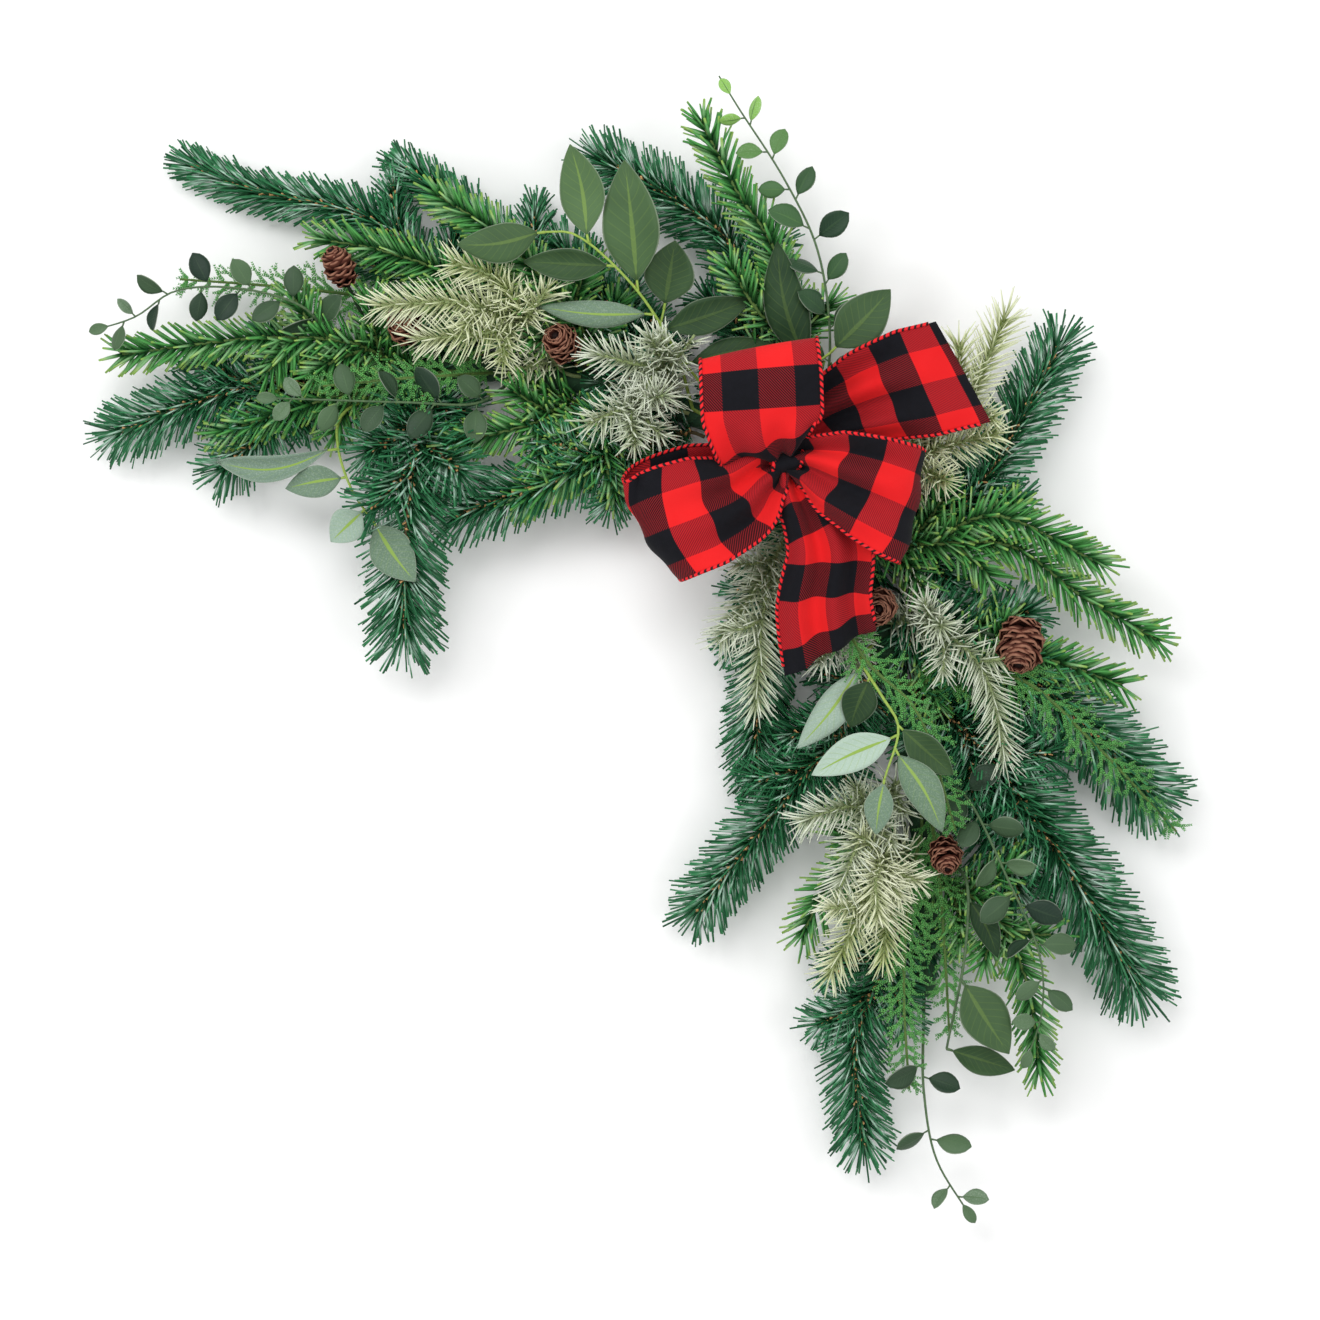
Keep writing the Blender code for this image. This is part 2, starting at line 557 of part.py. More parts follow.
def core():
    """The bundle of bound stems, flat underneath."""
    bm = bmesh.new()
    line = core_line()
    count = round(line.length / CORE_STEP)
    rings = []
    for step in range(count + 1):
        distance = line.length * step / count
        middle = line.at(distance)
        toward = line.toward(min(max(distance, 2 * MM), line.length - 2 * MM))
        side = UP.cross(toward).normalized()
        ring = []
        for corner in range(CORE_SIDES):
            angle = math.tau * (corner + 0.5) / CORE_SIDES
            wide = CORE_WIDTH / 2 * math.cos(angle) / math.cos(math.pi / CORE_SIDES)
            high = CORE_HEIGHT / 2 * (1 + math.sin(angle) / math.cos(math.pi / CORE_SIDES))
            ring.append(bm.verts.new(middle - side * wide + UP * high))
        rings.append(ring)
    for low, high in zip(rings, rings[1:]):
        band(bm, low, high)
    bm.faces.new(rings[0][::-1])
    bm.faces.new(rings[-1])
    bmesh.ops.recalc_face_normals(bm, faces=bm.faces)
    return bm


class Bed:
    """The core as a seat: where a stem is bound along it."""

    def __init__(self, bm):
        self.tree = BVHTree.FromBMesh(bm)
        self.line = core_line()

    def beside(self, point):
        """The direction of the core where it passes a point."""
        marks = [self.line.length * step / 80 for step in range(81)]
        flat = Vector((point.x, point.y, 0))
        best = min(marks, key=lambda mark: (self.line.at(mark) - flat).length)
        return self.line.toward(min(max(best, 3 * MM), self.line.length - 3 * MM))

    def seat(self, point, radius):
        spot, normal, _, _ = self.tree.find_nearest(point)
        return spot + normal * (radius + SEAT_GAP)

    def route(self, points, radius, slide, lift):
        """A path's points, with its root bound along the core and the rest lifted."""
        points = [place(*point) for point in points]
        along = self.beside(points[0])
        if along.dot(points[1] - points[0]) < 0:
            along = -along
        root = points[0] + along * slide * MM
        seats = [self.seat(root - along * SEAT_RUN, radius), self.seat(root, radius)]
        above = [point + UP * lift * MM for point in points[1:]]
        leave = seats[1] + (above[0] - seats[1]).normalized() * SEAT_RUN
        return Line([*seats, leave, *above])


def lifted(path, lift):
    return Line([place(x, y, z + lift) for x, y, z in path])


def ribbon_strip(places):
    """A strip of ribbon through places that give its middle, width and bearing."""
    bm = bmesh.new()
    middle = Line([place(x, y, z) for x, y, z, _, _ in places])
    marks = middle.marks[:: Line.FINE]
    count = max(round(middle.length / (17 * MM)), 6)
    rings = []
    for step in range(count + 1):
        distance = middle.length * step / count
        index = min(bisect.bisect_right(marks, distance), len(marks) - 1)
        low, high = marks[index - 1], marks[index]
        share = min((distance - low) / (high - low), 1)
        near, far = places[index - 1], places[index]
        width = near[3] + (far[3] - near[3]) * share
        bearing = near[4] + (far[4] - near[4]) * share
        toward = middle.toward(min(max(distance, 2 * MM), middle.length - 2 * MM))
        across = Vector((math.cos(math.radians(bearing)), math.sin(math.radians(bearing)), 0))
        across = (across - toward * across.dot(toward)).normalized()
        out = toward.cross(across)
        centre = middle.at(distance)
        half = width * MM / 2
        ring = []
        for edge, face in ((-1, -1), (1, -1), (1, 1), (-1, 1)):
            ring.append(bm.verts.new(centre + across * half * edge + out * face * RIBBON_THICK / 2))
        rings.append(ring)
    for low, high in zip(rings, rings[1:]):
        band(bm, low[:2], high[:2])
        band(bm, low[1:3], high[1:3])
        bm.faces.new((low[2], low[3], high[3]))
        bm.faces.new((low[2], high[3], high[2]))
        band(bm, (low[3], low[0]), (high[3], high[0]))
    bm.faces.new(rings[0][::-1])
    bm.faces.new(rings[-1])
    bmesh.ops.triangulate(bm, faces=[face for face in bm.faces if len(face.verts) > 3])
    bmesh.ops.recalc_face_normals(bm, faces=bm.faces)
    return bm


def gathered_middle():
    bm = bmesh.new()
    bmesh.ops.create_icosphere(bm, subdivisions=2, radius=GATHER)
    bmesh.ops.translate(bm, verts=bm.verts, vec=place(*BOW_MIDDLE))
    return bm


def bow():
    strips = [gathered_middle()] + [ribbon_strip(places) for places in BOW_STRIPS]
    names = ["bow_ribbon"] + [f"strip_{number}" for number in range(1, len(strips))]
    return join([object_from(bm, name, "ribbon") for bm, name in zip(strips, names)])


def bow_wire():
    """An inverted U over the core with a post up to the bow's gathered middle."""
    x, y, height = BOW_MIDDLE
    line = core_line()
    marks = [line.length * step / 200 for step in range(201)]
    foot = min(marks, key=lambda mark: (line.at(mark) - place(x, y, 0)).length)
    middle = line.at(foot)
    side = UP.cross(line.toward(foot)).normalized()
    out = CORE_WIDTH / 2 + 3 * GAP + STALK
    top = CORE_HEIGHT + GAP + STALK
    corners = [
        middle - side * out + UP * (FLOOR + STALK),
        middle - side * out + UP * top * 0.7,
        middle - side * out * 0.7 + UP * top,
        middle + UP * (top + 0.4 * MM),
        middle + side * out * 0.7 + UP * top,
        middle + side * out + UP * top * 0.7,
        middle + side * out + UP * (FLOOR + STALK),
    ]
    post = [
        middle + UP * top,
        middle.lerp(place(x, y, 0), 0.5) + UP * (top + height * MM) / 2,
        place(x, y, height) - UP * (GATHER + GAP),
    ]
    staple = plain_stem(Line(corners), STALK, sides=5, pitch=4 * MM, taper=1)
    rod = plain_stem(Line(post), STALK * 0.8, sides=5, pitch=10 * MM, taper=1)
    return join([object_from(staple, "bow_tie_wire", "wire"), object_from(rod, "wire_post", "wire")])


def cone(line, length, width, radius):
    """A stalk that flares into a body, whose scales stand out and overlap."""
    bm = bmesh.new()
    length *= MM
    width *= MM
    axis = line.toward(line.length - 2 * MM)
    foot = line.at(line.length)
    whole = Line([*line.points[:: Line.FINE], foot + axis * length * 0.4, foot + axis * length])
    base = line.length
    sides, bands = (6, 6) if width > LARGE_CONE else (5, 4)
    plain = max(round(base / (14 * MM)), 2)
    distances = [base * step / plain - MM * step / plain for step in range(plain + 1)]
    radii = [radius] * (plain + 1)
    turns = [0] * (plain + 1)
    for step in range(bands + 1):
        share = (step + 0.15) / (bands + 0.3)
        distances.append(base + share * (whole.length - base))
        radii.append(width * 0.4 * math.sin(math.pi * (0.1 + 0.84 * share)) ** 0.8)
        turns.append(math.pi * step / sides)
    rings = rings_along(bm, whole, distances, radii, sides, turns)
    scales = []
    for index, (low, high) in enumerate(zip(rings, rings[1:])):
        made = band(bm, low, high)
        if index > plain:
            scales += made[1::2]
    close_ends(bm, rings, whole.at(whole.length))
    for face in scales:
        middle = face.calc_center_median()
        out = middle - foot
        out = (out - axis * out.dot(axis)).normalized()
        made = bmesh.ops.poke(bm, faces=[face])
        made["verts"][0].co = middle + out * width * 0.16 + axis * SCALE_RISE
    bmesh.ops.triangulate(bm, faces=[face for face in bm.faces if len(face.verts) > 3])
    return [bm]


def cedar(line, draw, trees):
    """A flat spray: a stem with branchlets in two ranks, each with short scales at its edges."""
    joints = [line.length * (0.3 + 0.54 * number / (CEDAR_JOINTS - 1)) for number in range(CEDAR_JOINTS)]
    bm, bands, end = jointed_stem(line.cut(0.88), STEM, joints)
    scaly_branchlet(bm, end, line.at(line.length * 0.88), line.at(line.length), trees)
    for number, (joint, faces) in enumerate(zip(joints, bands)):
        toward = line.toward(joint)
        for side in (-1, 1):
            level = UP.cross(toward).normalized() * side
            length = CEDAR_REACH * (1 - 0.5 * number / CEDAR_JOINTS) * draw.uniform(0.85, 1.1)
            ahead = (toward * 0.85 + level * 0.6 + UP * draw.uniform(-0.1, 0.12)).normalized()
            start = line.at(joint)
            end = start + ahead * length
            end.z = max(end.z, FLOOR + 2 * MM)
            around = [*trees, BVHTree.FromBMesh(bm)]
            kept = reach(start + ahead * CEDAR_REACH * 0.3, end, around)
            if kept > 0.4:
                scaly_branchlet(bm, faces, start, start.lerp(end, kept), around)
    return [bm]


def scaly_branchlet(bm, faces, start, end, trees):
    """A thin twig drawn out of the stem, with short scales raised at its edges."""
    shares = (0.16, 0.42, 0.7)
    halves = (0.9 * MM, 0.9 * MM, 0.7 * MM)
    twig = grow(bm, faces, end, shares, halves, MM)
    bm.normal_update()
    toward = (end - start).normalized()
    edge = toward.cross(UP).normalized()
    for face in twig[6::2]:
        out = face.normal.dot(edge)
        if abs(out) > 0.55:
            foot = face.calc_center_median()
            tip = foot + edge * math.copysign(4.5 * MM, out) + toward * 4.5 * MM
            if reach(foot, tip, trees) == 1:
                made = bmesh.ops.poke(bm, faces=[face])
                made["verts"][0].co = tip


def eucalyptus(line, number, swell):
    """A sprig with small leaves in pairs."""
    draw = random.Random(100 + number)
    bare = min(EUCALYPTUS_BARE / line.length, 0.5)
    pairs = max(round(line.length * (1 - bare) / EUCALYPTUS_PITCH), 3)
    joints = [line.length * (bare + (0.88 - bare) * pair / (pairs - 1)) for pair in range(pairs)]
    bm, bands, end_face = jointed_stem(line.cut(0.93), STALK + swell, joints)
    shares = (0.16, 0.42, 0.76)
    top = EUCALYPTUS_LEAF * 0.26
    end = line.at(line.length * 0.93) + line.toward(line.length * 0.93) * EUCALYPTUS_LEAF * 0.7
    grow(bm, end_face, end, shares, (0.7 * MM, top * 0.8 + swell, top * 0.6), LEAF_THICK + swell)
    for joint, faces in zip(joints, bands):
        toward = line.toward(joint)
        level = UP.cross(toward).normalized()
        for side in (-1, 1):
            size = EUCALYPTUS_LEAF * draw.uniform(0.8, 1.1)
            size *= 1 - 0.4 * max(joint / line.length - 0.55, 0) / 0.45
            ahead = toward * draw.uniform(0.4, 0.8) + level * side + UP * draw.uniform(-0.2, 0.4)
            ahead.normalize()
            end = line.at(joint) + ahead * size
            end.z = max(end.z, FLOOR + MM)
            half = size * 0.3 + swell
            grow(bm, faces, end, shares, (0.7 * MM, half, half * 0.8), LEAF_THICK + swell)
    return [bm]


def leafy_sprig(line, leaves, swell):
    """A sprig of large leaves, each at its own place."""
    leaves = sorted(leaves)
    joints = [line.length * share for share, _, _, _, _ in leaves[:-1]]
    bm, bands, end_face = jointed_stem(line, STALK + swell, joints)
    places = zip([*joints, line.length], [*bands, end_face], leaves)
    for joint, faces, (_, x, y, rise, width) in places:
        end = place(x, y, line.at(joint).z / MM + rise)
        halves = [width * MM / 2 * part + swell for part in LEAF_OUTLINE]
        grow(bm, faces, end, LEAF_SHARES, [MM, *halves], LEAF_THICK + swell, 0.06)
    return [bm]


def merged(meshes):
    """The meshes laid together in one, only to be tested."""
    whole = bmesh.new()
    for bm in meshes:
        scrap = bpy.data.meshes.new("scrap")
        bm.to_mesh(scrap)
        whole.from_mesh(scrap)
        bpy.data.meshes.remove(scrap)
    return whole


def settle(name, make, space):
    """The first slide along the core and lift above it that leave a piece clear of the rest."""
    for slide in SLIDES:
        for lift in LIFTS:
            trial = merged(make(slide, lift, GAP * 0.7))
            if not space.crossed_by(trial, name):
                return slide, lift
    return 0, 0


def main():
    for old in list(bpy.data.objects):
        bpy.data.objects.remove(old, do_unlink=True)
    space = Space()

    def keep(name, meshes, finish):
        names = [name] + [f"{name}_piece_{number}" for number in range(1, len(meshes))]
        whole = join([object_from(bm, label, finish) for bm, label in zip(meshes, names)])
        bm = bmesh.new()
        bm.from_mesh(whole.data)
        space.put(name, bm)

    core_mesh = core()
    bed = Bed(core_mesh)
    keep("core_bundle", [core_mesh], "core")
    for made in (bow(), bow_wire()):
        bm = bmesh.new()
        bm.from_mesh(made.data)
        space.put(made.name, bm)

    for number, (points, length, width) in enumerate(CONES, 1):
        name = f"cone_{number}"

        def make(slide, lift, swell, points=points, length=length, width=width):
            line = bed.route(points, STALK, slide, lift)
            return cone(line, length + 2 * swell / MM, width + 2 * swell / MM, STALK + swell)

        slide, lift = settle(name, make, space)
        keep(name, make(slide, lift, 0), "cone")

    for number, (points, leaves) in enumerate(LEAF_SPRIGS, 1):
        name = f"leaf_sprig_{number}"

        def make(slide, lift, swell, points=points, leaves=leaves):
            return leafy_sprig(bed.route(points, STALK, slide, lift), leaves, swell)

        slide, lift = settle(name, make, space)
        keep(name, make(slide, lift, 0), "leaf")

    for number, points in enumerate(EUCALYPTUS_SPRIGS, 1):
        name = f"eucalyptus_sprig_{number}"

        def make(slide, lift, swell, points=points, number=number):
            return eucalyptus(bed.route(points, STALK, slide, lift), number, swell)

        slide, lift = settle(name, make, space)
        keep(name, make(slide, lift, 0), "eucalyptus")

    sprays = []
    for finish, kind_name, group in (
        ("pine", "pine_spray", PINE_SPRAYS),
        ("spruce", "spruce_spray", SPRUCE_SPRAYS),
        ("frosted", "frosted_pick", FROSTED_PICKS),
    ):
        sprays += [(f"{kind_name}_{n}", kind, paths, finish) for n, (kind, paths) in enumerate(group, 1)]
    sprays += [(f"cedar_spray_{n}", None, [path], "cedar") for n, path in enumerate(CEDAR_SPRAYS, 1)]
    settled = {}
    for name, kind, paths, finish in sprays:

        def make(slide, lift, swell, paths=paths):
            main_line = bed.route(paths[0], STEM, slide, lift)
            lines = [main_line] + [lifted(path, lift) for path in paths[1:]]
            return [plain_stem(line, STEM + swell, sides=6, pitch=6 * MM, taper=0.75) for line in lines]

        slide, lift = settle(name, make, space)
        settled[name] = (slide, lift)
        space.put(name, merged(make(slide, lift, 0)))

    for name, kind, paths, finish in reversed(sprays):
        slide, lift = settled[name]
        draw = random.Random(name)
        lines = [bed.route(paths[0], STEM, slide, lift)]
        lines += [lifted(path, lift) for path in paths[1:]]
        around = space.near(merged([plain_stem(line, STEM) for line in lines]), 32 * MM, name)
        if finish == "cedar":
            meshes = cedar(lines[0], draw, around)
        else:
            bares = [kind["bare"]] + [TWIG_BARE] * (len(lines) - 1)
            meshes = []
            for line, bare in zip(lines, bares):
                twigs = [BVHTree.FromBMesh(bm) for bm in meshes]
                meshes.append(needled_stem(line, kind, bare, draw, around + twigs))
        keep(name, meshes, finish)


main()
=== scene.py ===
"""Looks of a corner swag of artificial greenery with a checked bow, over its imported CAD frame.

Each spray, pick, sprig, cone and strip of ribbon is made again, finer, along the line that its
CAD solid follows. The plan is counted in steps of 5.5 mm from about the middle of the bow.
"""

import bisect
import math
import random
from collections import namedtuple

import bmesh
import bpy
import numpy as np
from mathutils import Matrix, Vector
from mathutils.bvhtree import BVHTree
from mathutils.noise import noise


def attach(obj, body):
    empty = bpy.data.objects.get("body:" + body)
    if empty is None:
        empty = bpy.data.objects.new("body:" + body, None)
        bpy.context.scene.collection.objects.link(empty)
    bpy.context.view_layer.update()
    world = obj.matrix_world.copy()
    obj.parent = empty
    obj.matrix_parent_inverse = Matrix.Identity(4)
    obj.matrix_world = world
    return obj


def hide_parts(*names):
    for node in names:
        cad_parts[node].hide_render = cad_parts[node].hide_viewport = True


PLAN = 0.0055
MM = 0.001
CORNER = (0, 1.4)
UP = Vector((0, 0, 1))
GOLDEN = math.radians(137.508)
FLOOR = 2 * MM

# The photograph's frame, and the camera over it
PHOTO = 1320
PHOTO_STEP = PLAN / 10
CORNER_PIXEL = (790, 456)
CAMERA_HEIGHT = 3.0
CAMERA_PLANE = 0.04

# The light: each lamp's name, place, size and power, what they are turned to, and the room's own light
LAMPS = [
    ("top", (-0.5, 1.3, 2.9), 1.6, 28),
    ("left", (-1.5, 0.9, 1.9), 0.7, 13),
    ("right", (1.5, -0.3, 1.9), 0.9, 8),
]
SWAG_MIDDLE = Vector((0, -0.1, 0))
ROOM_LIGHT = 0.82

# Stems: how far they run along the core and their gap to it, their radii in the CAD and here, the step of
# a tube's rings and its sides, and the line of the core
SEAT_RUN = 9 * MM
SEAT_GAP = 0.4 * MM
STEM = 1.5 * MM
STALK = 1.1 * MM
PINE_WIRE = 1.1 * MM
SPRUCE_TWIG = 1.3 * MM
FROSTED_TWIG = 1.2 * MM
STEM_STEP = 5 * MM
TUBE_SIDES = 6
CORE_PATH = [
    (-46, 10), (-34, 10.6), (-23, 9.6), (-10, 6), CORNER,
    (6, -7), (10, -18), (13, -32), (14, -44), (13.6, -53),
]

# The core's section, the steps and sides of its rod and the turns of its tape, and the staple's room
CORE_HALF = 8 * MM
CORE_HIGH = 12 * MM
CORE_RADIUS = 6.6 * MM
CORE_AXIS = 6 * MM
CORE_STEP = 2.5 * MM
CORE_SIDES = 20
TAPE_TURN = 9 * MM
TAPE_RIDGE = 0.5 * MM
STAPLE_SIDE_GAP = 1.05 * MM
STAPLE_TOP_GAP = 0.35 * MM
STAPLE_FOOT = 2.1 * MM

# Each kind of spray: needle length and width in mm, how thin it is, needles per mm, its lean in degrees
# at the root and the tip and how far needles stray from it, how flat the spray is, its bare root in mm,
# and up to which length in mm a line counts as short and how small its needles then are
PINE = dict(needle=26, wide=1.3, thin=0.25, per=4.0, lean=(22, 42), stray=4, flat=0.75, bare=8,
            short=60, small=0.8)
SLIM_PINE = {**PINE, "needle": 23, "lean": (36, 58)}
FULL_PINE = {**PINE, "needle": 32, "wide": 1.35, "per": 4.4, "lean": (20, 44), "flat": 0.65}
SPRUCE = dict(needle=19.5, wide=2.4, thin=0.5, per=1.35, lean=(34, 50), stray=3, flat=0.4, bare=8,
              short=0, small=1)
FROSTED = dict(needle=19, wide=1.7, thin=0.7, per=2.0, lean=(20, 46), stray=3, flat=0.6, bare=14,
               short=35, small=0.88)

# Needles: how their lengths and widths vary, how far they are rolled in radians, how steeply they are
# raised at most to clear the floor, and the parts of a needle that are looked at for cover
NEEDLE_LENGTHS = (0.8, 1.05)
NEEDLE_WIDTHS = (0.85, 1.15)
NEEDLE_ROLL = 0.8
NEEDLE_RISE = 0.2
LOOKED_AT = (0.35, 0.7, 1.0)

# The last stretch of a stem, and there how many degrees its needles lean and stray more and by which share
# they are shorter
NEAR_TIP = 14 * MM
TIP_LEAN = 12
TIP_STRAY = 9
TIP_SHORTER = 0.15

# The pine's stubs: how many needles there are to one, and their lengths in mm
STUB_NEEDLES = 12
STUB_LENGTHS = (1.5, 3.5)

# Side twigs: their bare roots in mm, how far they bend ahead for their length, and how low they may hang
TWIG_BARE = 3
PINE_TWIG_BARE = 4
TWIG_BEND = 0.08
TWIG_LOWEST = 4 * MM

# The frosted picks' side twigs: their pitch, their turn in degrees, and their length and rise in mm
FROSTED_PITCH = 34 * MM
FROSTED_TURNS = (45, 65)
FROSTED_LENGTHS = (16, 24)
FROSTED_RISES = (2, 9)

# The other kinds' side twigs: share along the stem, turn in degrees and length in mm, then how far they
# fall, and how long a pine's may be for its stem
PINE_TWIGS = [(0.1, 72, 24), (0.12, -72, 24), (0.2, 38, 40), (0.26, -38, 40), (0.4, 34, 36)]
SPRUCE_TWIGS = [(0.14, 46, 34), (0.2, -46, 36), (0.34, 46, 30), (0.42, -46, 28)]
TWIG_FALL = 2 * MM
PINE_TWIG_SHARE = 0.26

# Cedar: the pitch of its scales, of its pairs of limbs and of a limb's twigs, a limb's length, the width
# of a scale on the stem, a limb and a twig, and the turns of limbs and of twigs in degrees
SCALE_PITCH = 1.25 * MM
LIMB_PITCH = 7.5 * MM
TWIG_PITCH = 4.6 * MM
LIMB = 31 * MM
SCALE_WIDTHS = (1.5 * MM, 1.25 * MM, 1.1 * MM)
LIMB_TURNS = (30, 56)
TWIG_TURNS = (34, 54)

# Eucalyptus: its bare root, the pitch of its pairs of leaves, the length of a leaf, how much of that is
# its width, how lengths vary, and how far leaves are rolled in radians
EUCALYPTUS_BARE = 46 * MM
PAIR_PITCH = 25 * MM
EUCALYPTUS_LEAF = 23 * MM
EUCALYPTUS_WIDTH = 0.56
EUCALYPTUS_LENGTHS = (0.85, 1.12)
EUCALYPTUS_ROLL = 1.05

# A spray's first path rises from the core. Each twig that forks from it starts with the number of the
# place, counted from 0, that it leaves
PINE_SPRAYS = [
    (SLIM_PINE, [(-33, 11.5, 8), (-36.5, 20, 20), (-41.6, 25.2, 24), (-54.4, 28.5, 24), (-60, 30.9, 22)]),
    (SLIM_PINE, [(-24, 11.6, 9), (-25.5, 20, 22), (-32.5, 26.2, 26), (-38.7, 30.7, 24)]),
    (PINE, [(-43, 8.7, 7), (-50, 9, 17), (-58.2, 7.5, 22), (-67.6, 3.9, 18)],
     (1, (-52.5, 4.6, 20), (-57, 0.2, 20))),
    (FULL_PINE, [(-36, 8.6, 8), (-37.4, 2, 24), (-38.4, -6, 27), (-38.6, -16.6, 22)]),
    (PINE, [(-12.5, 5.2, 8), (-19, 0.9, 20), (-25.5, -1.6, 22), (-33.5, -4.5, 20)]),
    (PINE, [(-2.5, 4.3, 9), (-3.4, 14, 24), (-5.7, 22.6, 28), (-11, 27, 28), (-19, 31.4, 24)]),
    (PINE, [(-14.5, 8.6, 9), (-17, 15, 20), (-23, 22.6, 20)]),
    (PINE, [(6, -5.2, 9), (12.4, -6, 18), (18.6, -2, 26), (23.4, 5.6, 28), (27.1, 12.6, 26)]),
    (PINE, [(2.8, -3.8, 8), (0, -12, 20), (-2.9, -22, 22), (-3.2, -30.6, 20)]),
    (PINE, [(8.8, -20, 8), (5, -26.5, 20), (-1.6, -34.5, 22), (-9.2, -44.2, 20)]),
    (FULL_PINE, [(10.4, -13.5, 6), (18, -16.5, 24), (27, -23, 28), (36.3, -32.6, 22)]),
    (FULL_PINE, [(12.8, -22, 9), (19, -27.5, 26), (28, -40, 30), (35, -51.6, 24)],
     (1, (20.5, -34, 22), (23, -43, 20))),
    (PINE, [(13, -46, 6), (8.6, -52, 20), (6.6, -58, 22), (7.5, -67.6, 20)]),
]

SPRUCE_SPRAYS = [
    [[(-17.8, 9.8, 7), (-22.4, 16.4, 34), (-29.5, 23.6, 42), (-35.2, 27.4, 40)]],
    [[(-28.5, 10.6, 12), (-32, 18.4, 38), (-40, 21.8, 42), (-47, 23.2, 40)]],
    [[(-39, 10.6, 12), (-44, 12.8, 34), (-52.6, 13.2, 40), (-66.8, 11.6, 38)]],
    [[(-36.5, 10, 12), (-42, 8.6, 34), (-49.5, 6.2, 40), (-57.2, 3.8, 38)]],
    [[(-15.6, 6.6, 12), (-19, 2.2, 34), (-23, -0.8, 38), (-26.9, -3.2, 36)]],
    [[(-20.6, 7.2, 8), (-26, 4.6, 36), (-33.8, 2.6, 40)]],
    [[(-0.6, 3.2, 12), (0.6, 12, 40), (-1.8, 22.4, 46), (-5.1, 27.4, 46), (-8.9, 34.9, 42)],
     (1, (-3.4, 16, 50), (-6, 20, 60))],
    [[(7.2, -7.4, 12), (14, -7.4, 38), (22, -7.6, 45), (29, -12.6, 46), (36.6, -16.9, 42)],
     (1, (20, -4.6, 52), (30.8, -9.4, 55))],
    [[(12.2, -17.6, 6), (17, -19.4, 30), (24, -18.6, 38), (33.2, -21.5, 38)]],
    [[(14.6, -41, 12), (20, -44, 38), (23.6, -51, 42), (25, -60.2, 38)]],
    [[(11.8, -37, 8), (7.6, -38.8, 28), (3.8, -42, 34), (1.3, -46.4, 34)]],
]

FROSTED_PICKS = [
    [[(-22.6, 9.9, 12), (-27, 14.5, 40), (-32, 16.4, 58), (-41, 16.2, 60)],
     (1, (-29.5, 19, 56), (-33.4, 20.4, 62)),
     (1, (-31, 13.4, 56), (-37.1, 12.9, 58)),
     (1, (-25.6, 16, 54), (-24, 18, 64))],
    [[(-11.6, 6.4, 12), (-12.4, 10, 44), (-13.9, 12.8, 68)],
     (1, (-10.8, 11.6, 56), (-9.6, 13.2, 66)),
     (1, (-15.4, 10.4, 56), (-19.4, 11.4, 66))],
    [[(-16.6, 8.4, 12), (-15, 6.8, 44), (-12.6, 7.2, 72)],
     (1, (-17.6, 5.6, 58), (-19.9, 4.5, 66)),
     (1, (-15.6, 4.4, 56), (-15.5, 2.4, 68))],
    [[(3.4, -2.4, 12), (11, 1, 34), (17, 6, 50), (21.5, 15.4, 58)],
     (2, (16.8, 9, 58), (16.7, 12.3, 66)),
     (1, (15, 2.2, 48), (20.4, 3.6, 56)),
     (1, (13.4, -0.2, 46), (15.3, -1.2, 62))],
    [[(1.2, -2.8, 10), (-1.6, -9, 32), (-4.2, -13, 42), (-7, -17, 42)],
     (1, (-2.8, -15, 44), (-3.4, -23.6, 44))],
    [[(7.6, -15.6, 10), (4.6, -17.4, 34), (2.9, -19, 50)]],
    [[(9.8, -16, 12.5), (14, -15.6, 40), (18, -18.4, 56), (20, -22, 60), (21.4, -29, 56)],
     (1, (14.6, -15.2, 52), (15, -15.6, 66))],
    [[(11.4, -31, 10), (8.6, -33.6, 36), (5.1, -33.7, 54), (1.2, -35, 58)],
     (1, (6.4, -38, 54), (4.2, -43.6, 58))],
    [[(13, -38.6, 12), (9.6, -38.4, 42), (8.4, -41, 62), (8.6, -44.4, 70)],
     (1, (7.6, -43, 56), (3.8, -50.4, 56)),
     (1, (9.6, -44, 54), (9.2, -48.6, 60))],
]

# The picks whose frosting is yellowish, the sprig whose last leaves are young, the sprig whose twig is
# dark, and the leaf that is curled sideways, counted along its stem
CREAMY = {"frosted_pick_1", "frosted_pick_4", "frosted_pick_9"}
YOUNG_TIPPED = "eucalyptus_sprig_3"
DARK_TWIGGED = "leaf_sprig_6"
CURLED_LEAF = ("leaf_sprig_4", 0)

CEDAR_SPRAYS = [
    [(-33.6, 11.2, 11), (-38, 15.6, 26), (-42.4, 17.4, 30), (-52, 18.6, 32), (-61.3, 19.3, 32)],
    [(-29.8, 10, 12), (-34, 9.4, 46), (-39, 9, 54), (-46.6, 8.3, 50)],
    [(6.6, -9.4, 12), (5.2, -14.4, 40), (7.8, -19.4, 52), (12.4, -24, 60), (16.4, -36, 54)],
    [(11.2, -21.6, 12.5), (17, -20.6, 44), (23.1, -21, 54), (30, -27, 54), (38.8, -36.2, 40)],
    [(13.6, -37.4, 12.5), (12.4, -40.4, 40), (11.5, -46, 54), (11.4, -53.5, 50), (12, -62, 40)],
    [(14.2, -35.4, 12), (14.8, -38.6, 30), (15.4, -46, 40), (16, -56.3, 38)],
]

